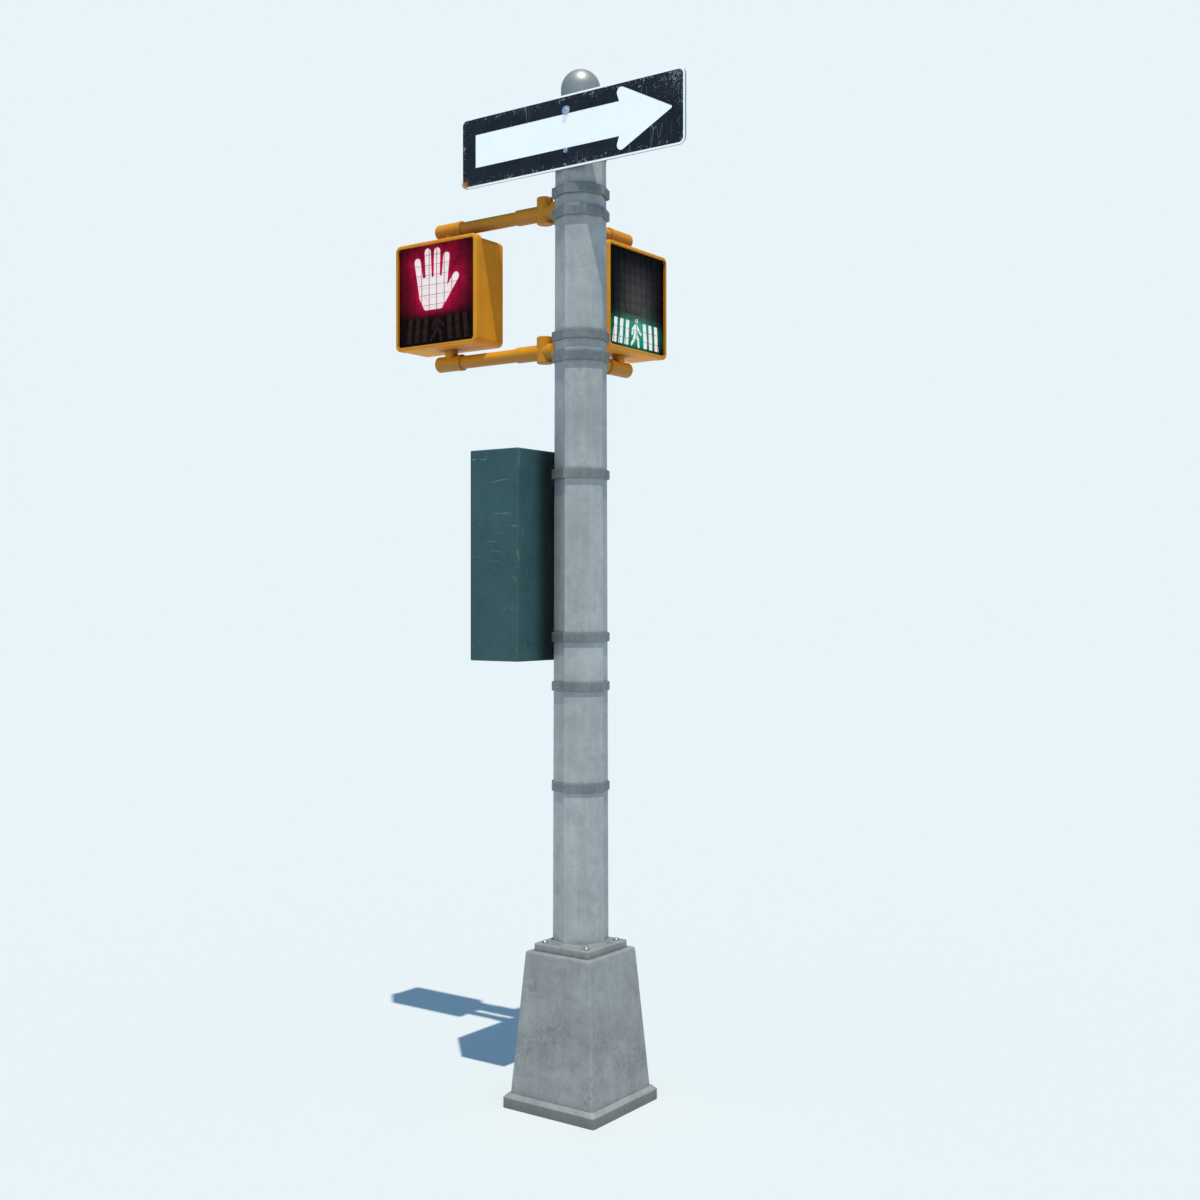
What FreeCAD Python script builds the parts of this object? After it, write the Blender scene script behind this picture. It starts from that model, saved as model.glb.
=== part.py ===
import FreeCAD, Part
import math
import os

os.makedirs("parts", exist_ok=True)

# Pedestrian signal post: a tapered octagonal pole on a cast base, with two signal heads on pipe arms,
# a one-direction arrow sign, a control cabinet and a pedestrian push-button station.
# Millimetres. Origin on the pole's axis at ground level, +Z up. The sign and the left head face -Y,
# the right head faces +X, and the arm hubs and the cabinet are on the pole's -X edge.

V = FreeCAD.Vector
X_AXIS, Y_AXIS, Z_AXIS = V(1, 0, 0), V(0, 1, 0), V(0, 0, 1)

# ---- driving dimensions -----------------------------------------------------------------------
# cast base
PLINTH_HALF = 197.0
PLINTH_TOP = 36.0
BODY_BOTTOM_Z = 50.0
BODY_BOTTOM_HALF = 178.0
BASE_CORNER, BASE_TOP_ROUNDING = 10.0, 9.0
BODY_TOP_Z = 539.0
BODY_TOP_HALF = 141.0
BASE_TOP_Z = 545.0
BASE_WALL = 12.0
BASE_FLOOR = 20.0
BASE_ROOF = 16.0
ANCHOR_SPACING = 254.0
ANCHOR_HOLE_R = 14.0
CONDUIT_HOLE_R = 62.0
HANDHOLE_WIDTH, HANDHOLE_HEIGHT, HANDHOLE_Z = 120.0, 200.0, 290.0

# pole, flange and finial
FLANGE_HALF, FLANGE_TOP_Z = 119.0, 571.0
FLANGE_BOLT_OFFSET = 90.0
POLE_TOP_Z = 3520.0
POLE_RADIUS_AT_GROUND = 101.0
POLE_TAPER = 3.08 / 1000.0
POLE_WALL = 5.0
RACEWAY_HOLE_R = 76.0
FINIAL_RADIUS = 70.0
FINIAL_CENTRE_Z = 3580.0
FINIAL_SKIRT_RADIUS = 96.0
CAP_SCREW_Z, CAP_SCREW_ANGLES = 3512.0, (60, 180, 300)

# clamp bands
BAND_RADIUS = 103.5
BAND_HEIGHT = 32.0
LOWER_ARM_Z, UPPER_ARM_Z = 2668.0, 3168.0
HUB_BAND_Z = (2630.0, 2705.0, 3134.5, 3211.0)
CABINET_BAND_Z = (1647.0, 2219.0)
BUTTON_BAND_Z = (1121.0, 1474.0)

# arm hubs, arms and elbows
HUB_X = -159.5
HUB_RADIUS, HUB_HALF_HEIGHT, HUB_BORE = 29.5, 48.0, 21.0
HUB_RAISE = 7.0
SADDLE_WIDTH = 62.0
STUB_END, SLEEVE_END = 34.0, 123.0
SLEEVE_RADIUS = 28.5
PIPE_RADIUS, PIPE_BORE = 24.15, 20.4
PIPE_START, PIPE_END = 46.0, 420.0
COLLAR_START, ELBOW_START, ELBOW_PAST_HEAD = 386.0, 408.0, 64.0
COLLAR_RADIUS, ELBOW_RADIUS = 30.5, 29.0
LEFT_HEAD_DISTANCE, RIGHT_HEAD_DISTANCE = 445.0, 462.0

# signal heads, in the head's own frame: axis at the origin, front towards -Y, bottom at z = 0
HEAD_BOTTOM_Z = 2717.0
HEAD_WIDTH, HEAD_HEIGHT = 402.0, 402.0
HEAD_FRONT_Y, HEAD_PARTING_Y, HEAD_REAR_Y = -95.0, -62.0, 70.0
BOX_WIDTH, BOX_LOW_Z, BOX_HIGH_Z, BOX_CORNER = 392.0, 1.5, HEAD_HEIGHT - 9.0, 20.0
HEAD_WALL = 3.0
FRAME_BORDER = 14.0
FRAME_LIP = 12.0
LENS_THICKNESS = 4.0
GRID_COUNT = 10
GRID_RIB, GRID_DEPTH = 1.0, 2.0
SYMBOL_THICKNESS = 0.6
NIPPLE_RADIUS, NIPPLE_BORE = PIPE_RADIUS, PIPE_BORE
RUNNING_GAP = 0.05
DOOR_AXIS_X, DOOR_AXIS_Y, KNUCKLE_RADIUS, DOOR_PIN_RADIUS = -202.0, -57.0, 4.5, 2.0

# sign
SIGN_CENTRE_X, SIGN_CENTRE_Z = 15.0, 3405.5
SIGN_WIDTH, SIGN_HEIGHT, SIGN_CORNER = 965.0, 255.0, 25.0
SIGN_FRONT_Y, SIGN_DEPTH, SIGN_SHEET = -101.0, 9.0, 3.0
SIGN_BORDER = 6.5
FACE_THICKNESS, FILM_THICKNESS = 0.5, 0.4
SIGN_BOLT_X, SIGN_BOLT_Z = 10.5, (3339.0, 3478.5)

# cabinet
CABINET_BACK_X, CABINET_FRONT_X = -104.5, -318.0
CABINET_HALF_WIDTH = 225.0
CABINET_BOTTOM_Z, CABINET_TOP_Z = 1563.0, 2305.0
CABINET_WALL, CABINET_CORNER = 3.0, 7.0
DOOR_MARGIN, DOOR_REVEAL, DOOR_SHEET = 12.0, 1.5, 3.0
CABINET_HINGE_X, CABINET_HINGE_Y, CABINET_PIN_RADIUS = -323.2, 213.0, 2.5

# push-button station, in its own frame: +X is the outward normal of the pole's flat
BUTTON_ANGLE = 112.5
BUTTON_Z = 1105.0
PLATE_BACK_X, PLATE_SHEET = 98.0, 3.0
PLATE_HALF_WIDTH, PLATE_BOTTOM_Z, PLATE_TOP_Z = 63.5, 1022.0, 1560.0
BUTTON_RADIUS = 26.0
BUTTON_TRAVEL = 4.0


# ---- helpers ----------------------------------------------------------------------------------
def box(x0, x1, y0, y1, z0, z1):
    """Box between two corners."""
    return Part.makeBox(x1 - x0, y1 - y0, z1 - z0, V(x0, y0, z0))


def rod(radius, start, end):
    """Round bar between two points."""
    axis = end - start
    return Part.makeCylinder(radius, axis.Length, start, axis)


def pipe(outer, inner, start, end):
    """Tube between two points."""
    return rod(outer, start, end).cut(rod(inner, start, end))


def fuse(*solids):
    """One clean solid from touching or overlapping solids."""
    return solids[0].multiFuse(list(solids[1:])).removeSplitter()


def cut(solid, *tools):
    """A solid with tools removed."""
    return solid.cut(list(tools)).removeSplitter()


def rounded_outline(corners):
    """Closed wire through (x, y, radius) corners in the XY plane, each corner rounded by an arc."""
    count = len(corners)
    arcs, joints = {}, []
    for index, (x, y, radius) in enumerate(corners):
        here = V(x, y, 0)
        before = V(*corners[index - 1][:2], 0)
        after = V(*corners[(index + 1) % count][:2], 0)
        to_before = (before - here).normalize()
        to_after = (after - here).normalize()
        if radius == 0:
            joints.append((here, here))
            continue
        half = to_before.getAngle(to_after) / 2
        reach = radius / math.tan(half)
        first, last = here + to_before * reach, here + to_after * reach
        bisector = (to_before + to_after).normalize()
        middle = here + bisector * (radius / math.sin(half) - radius)
        arcs[index] = Part.Arc(first, middle, last).toShape()
        joints.append((first, last))
    outline = []
    for index in range(count):
        if index in arcs:
            outline.append(arcs[index])
        start, end = joints[index][1], joints[(index + 1) % count][0]
        if start.distanceToPoint(end) > 1e-6:
            outline.append(Part.LineSegment(start, end).toShape())
    return Part.Wire(outline)


def rounded_rectangle(width, height, radius, centre=(0, 0)):
    """Corner list of a rounded rectangle for rounded_outline."""
    cx, cy = centre
    half_w, half_h = width / 2, height / 2
    signs = ((-1, -1), (1, -1), (1, 1), (-1, 1))
    return [(cx + sx * half_w, cy + sy * half_h, radius) for sx, sy in signs]


def face_plate(corners, y0, y1, holes=()):
    """Plate whose outline lies in the XZ plane, between depths y0 and y1."""
    outlines = [rounded_outline(corners)] + [rounded_outline(hole) for hole in holes]
    face = Part.makeFace(outlines, "Part::FaceMakerBullseye")
    plate = face.extrude(V(0, 0, y1 - y0))
    plate.rotate(V(0, 0, 0), X_AXIS, 90)
    plate.translate(V(0, y1, 0))
    return plate


def face_loft(sections):
    """Ruled body through (width, height, radius, y) rounded rectangles around the head's centre."""
    wires = []
    for width, height, radius, y in sections:
        wire = rounded_outline(rounded_rectangle(width, height, radius, (0, HEAD_HEIGHT / 2)))
        wire.rotate(V(0, 0, 0), X_AXIS, 90)
        wire.translate(V(0, y, 0))
        wires.append(wire)
    return Part.makeLoft(wires, True, True)


def polygon_ring(count, radius, z, start_angle=0.0):
    """Closed regular polygon at height z."""
    angles = [math.radians(start_angle + 360.0 * step / count) for step in range(count)]
    points = [V(radius * math.cos(a), radius * math.sin(a), z) for a in angles]
    return Part.makePolygon(points + [points[0]])


def octagon_body(radius0, z0, radius1, z1):
    """Octagonal frustum with corners on the axes and the diagonals."""
    rings = [polygon_ring(8, radius0, z0), polygon_ring(8, radius1, z1)]
    return Part.makeLoft(rings, True, True)


def square_body(half0, z0, half1, z1, corner=0):
    """Square frustum, its upright edges rounded."""
    rings = []
    for half, z in ((half0, z0), (half1, z1)):
        ring = rounded_outline(rounded_rectangle(2 * half, 2 * half, corner))
        ring.translate(V(0, 0, z))
        rings.append(ring)
    return Part.makeLoft(rings, True, True)


def pole_radius(z):
    """Corner radius of the tapered pole at height z."""
    return POLE_RADIUS_AT_GROUND - POLE_TAPER * z


def pole_slice(z0, z1, outset=0.0):
    """The pole's outer form between two heights."""
    return octagon_body(pole_radius(z0) + outset, z0, pole_radius(z1) + outset, z1)


def hex_bolt(head_radius, head_height, shank_radius, seat, tip):
    """Hexagon bolt whose head rests at seat and whose shank ends at tip."""
    axis = (tip - seat).normalize()
    head = Part.Face(polygon_ring(6, head_radius, 0)).extrude(V(0, 0, head_height))
    head = head.common(Part.makeCone(head_radius * 1.25, head_radius * 0.9, head_height))
    head.Placement = FreeCAD.Placement(seat, FreeCAD.Rotation(Z_AXIS, axis * -1))
    return fuse(head, rod(shank_radius, seat, tip))


def dome_bolt(head_radius, head_height, shank_radius, seat, tip):
    """Round-headed bolt whose head rests at seat and whose shank ends at tip."""
    axis = (seat - tip).normalize()
    sphere_radius = (head_radius ** 2 + head_height ** 2) / (2 * head_height)
    ball = Part.makeSphere(sphere_radius, seat + axis * (head_height - sphere_radius))
    head = ball.common(rod(head_radius, seat, seat + axis * head_height))
    return fuse(head, rod(shank_radius, seat, tip))


def turned(shape, angle, centre=V(0, 0, 0)):
    """Copy turned about a vertical axis."""
    copy = shape.copy()
    copy.rotate(centre, Z_AXIS, angle)
    return copy


def save(node, *solids):
    """Write one node as a STEP file."""
    shape = solids[0] if len(solids) == 1 else Part.makeCompound(list(solids))
    volume = sum(solid.Volume for solid in shape.Solids)
    state = "ok" if shape.isValid() and shape.Solids else "INVALID"
    print(f"{node:24s} {len(shape.Solids):3d} solids {volume / 1000:10.1f} cm3 {state}")
    shape.exportStep(f"parts/{node}.step")


# ---- cast base, flange, pole and finial -------------------------------------------------------
def base_face_half(z):
    """Half-width of the base's sloping body at height z."""
    slope = (BODY_BOTTOM_HALF - BODY_TOP_HALF) / (BODY_TOP_Z - BODY_BOTTOM_Z)
    return BODY_BOTTOM_HALF - slope * (z - BODY_BOTTOM_Z)


def on_back_slope(shape):
    """Place a shape drawn flat on the +Y side at y = 0 onto the base's sloping back face."""
    slope = math.degrees(math.atan((BODY_BOTTOM_HALF - BODY_TOP_HALF) / (BODY_TOP_Z - BODY_BOTTOM_Z)))
    placed = shape.copy()
    placed.translate(V(0, 0, -HANDHOLE_Z))
    placed.rotate(V(0, 0, 0), X_AXIS, slope)
    placed.translate(V(0, base_face_half(HANDHOLE_Z), HANDHOLE_Z))
    return placed


COVER_SCREWS = [(sx * (HANDHOLE_WIDTH / 2 + 10), HANDHOLE_Z + sz * (HANDHOLE_HEIGHT / 2 + 10))
                for sx in (-1, 1) for sz in (-1, 1)]


def base_casting():
    body = square_body(BODY_BOTTOM_HALF, BODY_BOTTOM_Z, base_face_half(BASE_TOP_Z), BASE_TOP_Z, BASE_CORNER)
    rim = [e for e in body.Edges if all(abs(v.Z - BASE_TOP_Z) < 0.01 for v in e.Vertexes)]
    outer = fuse(
        square_body(PLINTH_HALF, 0, PLINTH_HALF, PLINTH_TOP, BASE_CORNER),
        square_body(PLINTH_HALF, PLINTH_TOP, BODY_BOTTOM_HALF + 6, BODY_BOTTOM_Z, BASE_CORNER),
        body.makeFillet(BASE_TOP_ROUNDING, rim))
    cavity_top = BASE_TOP_Z - BASE_ROOF
    cavity = square_body(base_face_half(BASE_FLOOR) - BASE_WALL, BASE_FLOOR,
                         base_face_half(cavity_top) - BASE_WALL, cavity_top)
    half = ANCHOR_SPACING / 2
    anchors = [rod(ANCHOR_HOLE_R, V(sx * half, sy * half, -1), V(sx * half, sy * half, BASE_FLOOR + 1))
               for sx in (-1, 1) for sy in (-1, 1)]
    conduit = rod(CONDUIT_HOLE_R, V(0, 0, -1), V(0, 0, BASE_FLOOR + 1))
    wireway = rod(RACEWAY_HOLE_R, V(0, 0, cavity_top - 1), V(0, 0, BASE_TOP_Z + 1))
    offset = FLANGE_BOLT_OFFSET
    taps = [rod(6, V(sx * offset, sy * offset, cavity_top - 1), V(sx * offset, sy * offset, BASE_TOP_Z + 1))
            for sx in (-1, 1) for sy in (-1, 1)]
    handhole = on_back_slope(face_plate(
        rounded_rectangle(HANDHOLE_WIDTH, HANDHOLE_HEIGHT, 15, (0, HANDHOLE_Z)), -25, 5))
    cover_taps = [on_back_slope(rod(3, V(x, -9, z), V(x, 1, z))) for x, z in COVER_SCREWS]
    ground_lug = box(-15, 15, -155, -125, BASE_FLOOR, BASE_FLOOR + 25)
    return fuse(cut(outer, cavity, *anchors, conduit, wireway, handhole, *taps, *cover_taps), ground_lug)


def handhole_cover():
    outline = rounded_rectangle(HANDHOLE_WIDTH + 40, HANDHOLE_HEIGHT + 40, 20, (0, HANDHOLE_Z))
    plate = face_plate(outline, 0, 5)
    holes = [rod(3.4, V(x, -1, z), V(x, 6, z)) for x, z in COVER_SCREWS]
    return on_back_slope(cut(plate, *holes))


def cap_screws():
    """Four handhole cover screws and three finial set screws."""
    screws = [on_back_slope(dome_bolt(5.5, 4, 3, V(x, 5, z), V(x, -8, z))) for x, z in COVER_SCREWS]
    for angle in CAP_SCREW_ANGLES:
        screw = dome_bolt(5.5, 3, 3, V(FINIAL_SKIRT_RADIUS, 0, CAP_SCREW_Z), V(86, 0, CAP_SCREW_Z))
        screws.append(turned(screw, angle))
    return screws


def flange_corners():
    """Flange bolt positions."""
    return [V(sx * FLANGE_BOLT_OFFSET, sy * FLANGE_BOLT_OFFSET, 0) for sx in (-1, 1) for sy in (-1, 1)]


def pole_flange():
    plate = box(-FLANGE_HALF, FLANGE_HALF, -FLANGE_HALF, FLANGE_HALF, BASE_TOP_Z, FLANGE_TOP_Z)
    edges = [e for e in plate.Edges if abs(e.Vertexes[0].Z - e.Vertexes[1].Z) > 1]
    plate = plate.makeFillet(9, edges)
    rim = [e for e in plate.Edges if all(abs(v.Z - FLANGE_TOP_Z) < 0.01 for v in e.Vertexes)]
    plate = plate.makeChamfer(3, rim)
    weld = octagon_body(pole_radius(FLANGE_TOP_Z) + 8, FLANGE_TOP_Z, pole_radius(FLANGE_TOP_Z) + 0.2,
                        FLANGE_TOP_Z + 9)
    weld = weld.cut(pole_slice(FLANGE_TOP_Z, FLANGE_TOP_Z + 10))
    wireway = rod(RACEWAY_HOLE_R, V(0, 0, BASE_TOP_Z - 1), V(0, 0, FLANGE_TOP_Z + 1))
    holes = [rod(6.8, p + V(0, 0, BASE_TOP_Z - 1), p + V(0, 0, FLANGE_TOP_Z + 1)) for p in flange_corners()]
    return fuse(cut(plate, wireway, *holes), weld)


def flange_bolts():
    low, high = V(0, 0, BASE_TOP_Z - BASE_ROOF), V(0, 0, FLANGE_TOP_Z)
    bolts = []
    for p in flange_corners():
        washer = pipe(12, 6.8, p + high, p + high + V(0, 0, 2.5))
        bolts += [washer, dome_bolt(9.5, 7, 6, p + high + V(0, 0, 2.5), p + low)]
    return bolts


def pole_shaft():
    inner_scale = POLE_WALL / math.cos(math.pi / 8)
    shaft = pole_slice(FLANGE_TOP_Z, POLE_TOP_Z)
    bore = pole_slice(FLANGE_TOP_Z, POLE_TOP_Z, -inner_scale)
    wire_holes = [rod(12, V(-120, 0, z), V(-60, 0, z)) for z in (LOWER_ARM_Z, UPPER_ARM_Z, 1900.0)]
    button_entry = turned(rod(9, V(60, 0, BUTTON_Z + 75), V(120, 0, BUTTON_Z + 75)), BUTTON_ANGLE)
    cap_holes = [turned(rod(3, V(70, 0, CAP_SCREW_Z), V(100, 0, CAP_SCREW_Z)), angle) for angle in CAP_SCREW_ANGLES]
    return cut(shaft, bore, button_entry, *wire_holes, *cap_holes)


def finial_cap():
    """Skirt over the pole's end, a cove, and a ball-topped neck, all hollow."""
    skirt_low, neck_z = POLE_TOP_Z - 20, POLE_TOP_Z + 26
    wall, skirt = 4.0, FINIAL_SKIRT_RADIUS
    profile = [V(skirt - wall, 0, skirt_low), V(skirt, 0, skirt_low), V(skirt, 0, POLE_TOP_Z + 6),
               V(FINIAL_RADIUS + 3, 0, neck_z - 6), V(FINIAL_RADIUS, 0, neck_z),
               V(FINIAL_RADIUS, 0, FINIAL_CENTRE_Z)]
    bend = FINIAL_RADIUS * math.sqrt(0.5)
    outer_mid = V(bend, 0, FINIAL_CENTRE_Z + bend)
    inner_radius = FINIAL_RADIUS - wall
    inner_bend = inner_radius * math.sqrt(0.5)
    inside = [V(inner_radius, 0, FINIAL_CENTRE_Z), V(inner_radius, 0, POLE_TOP_Z),
              V(skirt - wall, 0, POLE_TOP_Z), V(skirt - wall, 0, skirt_low)]
    outer_top, inner_top = V(0, 0, FINIAL_CENTRE_Z + FINIAL_RADIUS), V(0, 0, FINIAL_CENTRE_Z + inner_radius)
    edges = [Part.LineSegment(a, b).toShape() for a, b in zip(profile, profile[1:])]
    edges.append(Part.Arc(profile[-1], outer_mid, outer_top).toShape())
    edges.append(Part.LineSegment(outer_top, inner_top).toShape())
    inner_mid = V(inner_bend, 0, FINIAL_CENTRE_Z + inner_bend)
    edges.append(Part.Arc(inner_top, inner_mid, inside[0]).toShape())
    edges += [Part.LineSegment(a, b).toShape() for a, b in zip(inside, inside[1:])]
    body = Part.Face(Part.Wire(edges)).revolve(V(0, 0, 0), Z_AXIS, 360)
    holes = [turned(rod(3, V(90, 0, CAP_SCREW_Z), V(100, 0, CAP_SCREW_Z)), angle) for angle in CAP_SCREW_ANGLES]
    return cut(body, *holes)


# ---- clamp bands ------------------------------------------------------------------------------
EAR_GAP = 5.0


def clamp_band(z, ear_angle):
    """Octagonal band on the pole's taper, split at one corner, with two clamping ears."""
    low, high = z - BAND_HEIGHT / 2, z + BAND_HEIGHT / 2
    ring = octagon_body(BAND_RADIUS, low, BAND_RADIUS, high)
    edges = [e for e in ring.Edges if abs(e.Vertexes[0].Z - e.Vertexes[1].Z) < 1e-6]
    ring = ring.makeChamfer(1.5, edges)
    ears = turned(box(BAND_RADIUS - 8, BAND_RADIUS + 16, -11, 11, low + 3, high - 3), ear_angle)
    gap = turned(box(60, 140, -EAR_GAP / 2, EAR_GAP / 2, low - 1, high + 1), ear_angle)
    bolt_hole = turned(rod(3.5, V(BAND_RADIUS + 8, -20, z), V(BAND_RADIUS + 8, 20, z)), ear_angle)
    return cut(fuse(ring, ears), pole_slice(low - 5, high + 5), gap, bolt_hole)


def band_bolt(z, ear_angle):
    """Bolt and nut through a band's ears."""
    x = BAND_RADIUS + 8
    bolt = hex_bolt(6.5, 5, 3.5, V(x, -11, z), V(x, 19, z))
    nut = Part.Face(polygon_ring(6, 6.5, 0)).extrude(V(0, 0, 5)).cut(rod(3.5, V(0, 0, -1), V(0, 0, 6)))
    nut.Placement = FreeCAD.Placement(V(x, 11, z), FreeCAD.Rotation(Z_AXIS, Y_AXIS))
    return [turned(bolt, ear_angle), turned(nut, ear_angle)]


BAND_PLACES = ([(z, 135.0) for z in HUB_BAND_Z] + [(z, 135.0) for z in CABINET_BAND_Z]
               + [(z, 180.0) for z in BUTTON_BAND_Z])


# ---- hubs and arms ----------------------------------------------------------------------------
def hub_casting(z):
    """Vertical barrel with plugs, a boss to the pole saddle and a stub for each arm."""
    centre = V(HUB_X, 0, z)
    middle = centre + V(0, 0, HUB_RAISE)
    barrel = rod(HUB_RADIUS, middle - V(0, 0, HUB_HALF_HEIGHT), middle + V(0, 0, HUB_HALF_HEIGHT))
    barrel = barrel.makeChamfer(3, [e for e in barrel.Edges if e.Closed])
    boss = rod(HUB_RADIUS, centre, V(-98, 0, z))
    stubs = [rod(SLEEVE_RADIUS, centre, centre + direction * STUB_END) for direction in ARM_DIRECTIONS]
    half = SADDLE_WIDTH / 2
    bands = [b for b in HUB_BAND_Z if abs(b - z) < 100]
    lower, upper = min(bands) + BAND_HEIGHT / 2, max(bands) - BAND_HEIGHT / 2
    saddle = box(-110, -62, -half, half, lower + 0.5, upper - 0.5)
    saddle = saddle.makeFillet(4, [e for e in saddle.Edges if e.Vertexes[0].X < -109 > e.Vertexes[1].X])
    tongue = box(-99, -62, -half + 8, half - 8, lower - BAND_HEIGHT - 6, upper + BAND_HEIGHT + 6)
    body = fuse(barrel, boss, *stubs, saddle, tongue)
    bores = [rod(HUB_BORE, middle - V(0, 0, 36), middle + V(0, 0, 36)),
             rod(HUB_BORE, centre, V(-96, 0, z)), rod(12, centre, V(-60, 0, z))]
    bores += [rod(HUB_BORE, centre, centre + direction * 60) for direction in ARM_DIRECTIONS]
    straps = [octagon_body(BAND_RADIUS, b - BAND_HEIGHT / 2, BAND_RADIUS, b + BAND_HEIGHT / 2) for b in bands]
    return cut(body, pole_slice(z - 80, z + 80), *straps, *bores)


ARM_DIRECTIONS = (V(-1, 0, 0), V(0, 1, 0))
ARMS = [(z, direction) for direction in ARM_DIRECTIONS for z in (LOWER_ARM_Z, UPPER_ARM_Z)]
HEAD_PLACES = {"left": (ARM_DIRECTIONS[0], LEFT_HEAD_DISTANCE), "right": (ARM_DIRECTIONS[1], RIGHT_HEAD_DISTANCE)}


def along(z, direction, distance):
    """Point on an arm's axis at a distance from the hub."""
    return V(HUB_X, 0, z) + direction * distance


def arm_sleeve(z, direction):
    start, end = along(z, direction, STUB_END), along(z, direction, SLEEVE_END)
    body = rod(SLEEVE_RADIUS, start, end)
    body = body.makeChamfer(2, [e for e in body.Edges if e.Closed and e.CenterOfMass.distanceToPoint(end) < 1])
    socket = rod(PIPE_RADIUS, along(z, direction, PIPE_START), along(z, direction, SLEEVE_END + 1))
    return cut(body, socket, rod(PIPE_BORE, start, end))


def arm_pipe(z, direction):
    return pipe(PIPE_RADIUS, PIPE_BORE, along(z, direction, PIPE_START), along(z, direction, PIPE_END))


def lock_collar(z, direction):
    start, end = along(z, direction, COLLAR_START), along(z, direction, ELBOW_START)
    body = rod(COLLAR_RADIUS, start, end)
    body = body.makeChamfer(2.5, [e for e in body.Edges if e.Closed])
    return cut(body, rod(PIPE_RADIUS, start, end))


def arm_elbow(z, direction, head_distance):
    """Closed-end elbow that carries one of the head's nipples."""
    length = head_distance + ELBOW_PAST_HEAD
    start, end = along(z, direction, ELBOW_START), along(z, direction, length)
    body = rod(ELBOW_RADIUS, start, end)
    body = body.makeChamfer(7, [e for e in body.Edges if e.Closed and e.CenterOfMass.distanceToPoint(end) < 1])
    socket = rod(PIPE_RADIUS, start, along(z, direction, PIPE_END))
    wireway = rod(20, along(z, direction, PIPE_END - 1), along(z, direction, length - 12))
    towards_head = V(0, 0, 1 if z == LOWER_ARM_Z else -1)
    centre = along(z, direction, head_distance)
    bearing = rod(NIPPLE_RADIUS + RUNNING_GAP, centre, centre + towards_head * 40)
    return cut(body, socket, wireway, bearing)


# ---- signal heads -----------------------------------------------------------------------------
FRAME_OPENING = (HEAD_WIDTH - 2 * FRAME_BORDER, HEAD_HEIGHT - 2 * FRAME_BORDER)
LENS_SIZE = (HEAD_WIDTH - 16, HEAD_HEIGHT - 16)
LIP_BACK_Y = HEAD_FRONT_Y + FRAME_LIP
LENS_FRONT_Y = LIP_BACK_Y + 2
PAD_RADIUS, PAD_HEIGHT = 34.0, 16.0
NUT_HEIGHT, NIPPLE_PAST_NUT = 7.0, 1.5
DOOR_KNUCKLE_Z = (60.0, HEAD_HEIGHT - 60.0)
LATCH_X, LATCH_Y_IN_HEAD = 120.0, -46.0
TONGUE_LOW_Z, TONGUE_HIGH_Z = HEAD_HEIGHT - 7.5, HEAD_HEIGHT - 1.5


def head_centred(size, radius):
    """Corner list of a rounded rectangle centred on the head's face."""
    return rounded_rectangle(size[0], size[1], radius, (0, HEAD_HEIGHT / 2))


def housing_box(inset, y0, y1, rear_rounding):
    """The housing's boxy form, drawn in by inset."""
    size = (BOX_WIDTH - 2 * inset, BOX_HIGH_Z - BOX_LOW_Z - 2 * inset)
    outline = rounded_rectangle(*size, BOX_CORNER - inset, (0, (BOX_LOW_Z + BOX_HIGH_Z) / 2))
    body = face_plate(outline, y0, y1)
    return body.makeFillet(rear_rounding, [e for e in body.Edges if all(abs(v.Y - y1) < 0.01 for v in e.Vertexes)])


def head_housing():
    """Box behind the lens door, with a pad inside for each nipple and knuckles for the door's hinge."""
    outer = housing_box(0, HEAD_PARTING_Y, HEAD_REAR_Y, 8)
    inside = housing_box(HEAD_WALL, HEAD_PARTING_Y - 1, HEAD_REAR_Y - HEAD_WALL, 5)
    nipple_holes = rod(NIPPLE_RADIUS, V(0, 0, -5), V(0, 0, HEAD_HEIGHT + 5))
    pads = [rod(PAD_RADIUS, V(0, 0, low), V(0, 0, high)) for low, high in
            ((BOX_LOW_Z + 1, BOX_LOW_Z + PAD_HEIGHT), (BOX_HIGH_Z - PAD_HEIGHT, BOX_HIGH_Z - 1))]
    body = cut(fuse(cut(outer, inside), *pads), nipple_holes)
    axis = V(DOOR_AXIS_X, DOOR_AXIS_Y, 0)
    for z in DOOR_KNUCKLE_Z:
        low, high = V(0, 0, z - 9), V(0, 0, z + 9)
        knuckle = rod(KNUCKLE_RADIUS, axis + low, axis + high)
        web = box(DOOR_AXIS_X, -BOX_WIDTH / 2 + 1, DOOR_AXIS_Y - 3, DOOR_AXIS_Y + 4.5, z - 9, z + 9)
        body = fuse(body, cut(fuse(knuckle, web), rod(DOOR_PIN_RADIUS, axis + low, axis + high)))
    return body


def head_nipples():
    """Hollow pivots through the bottom and the top of the housing, each with a locknut inside."""
    pivots = []
    reach = HEAD_BOTTOM_Z - LOWER_ARM_Z - 14
    inner = PAD_HEIGHT + NUT_HEIGHT + NIPPLE_PAST_NUT
    for low, high, seat, inward in ((-reach, BOX_LOW_Z + inner, BOX_LOW_Z + PAD_HEIGHT, 1),
                                    (BOX_HIGH_Z - inner, HEAD_HEIGHT + reach, BOX_HIGH_Z - PAD_HEIGHT, -1)):
        tube = pipe(NIPPLE_RADIUS, NIPPLE_BORE, V(0, 0, low), V(0, 0, high))
        nut = Part.Face(polygon_ring(6, 33, seat)).extrude(V(0, 0, inward * NUT_HEIGHT))
        pivots.append(fuse(tube, cut(nut, rod(NIPPLE_RADIUS - 1, V(0, 0, -60), V(0, 0, HEAD_HEIGHT + 60)))))
    return pivots


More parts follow.
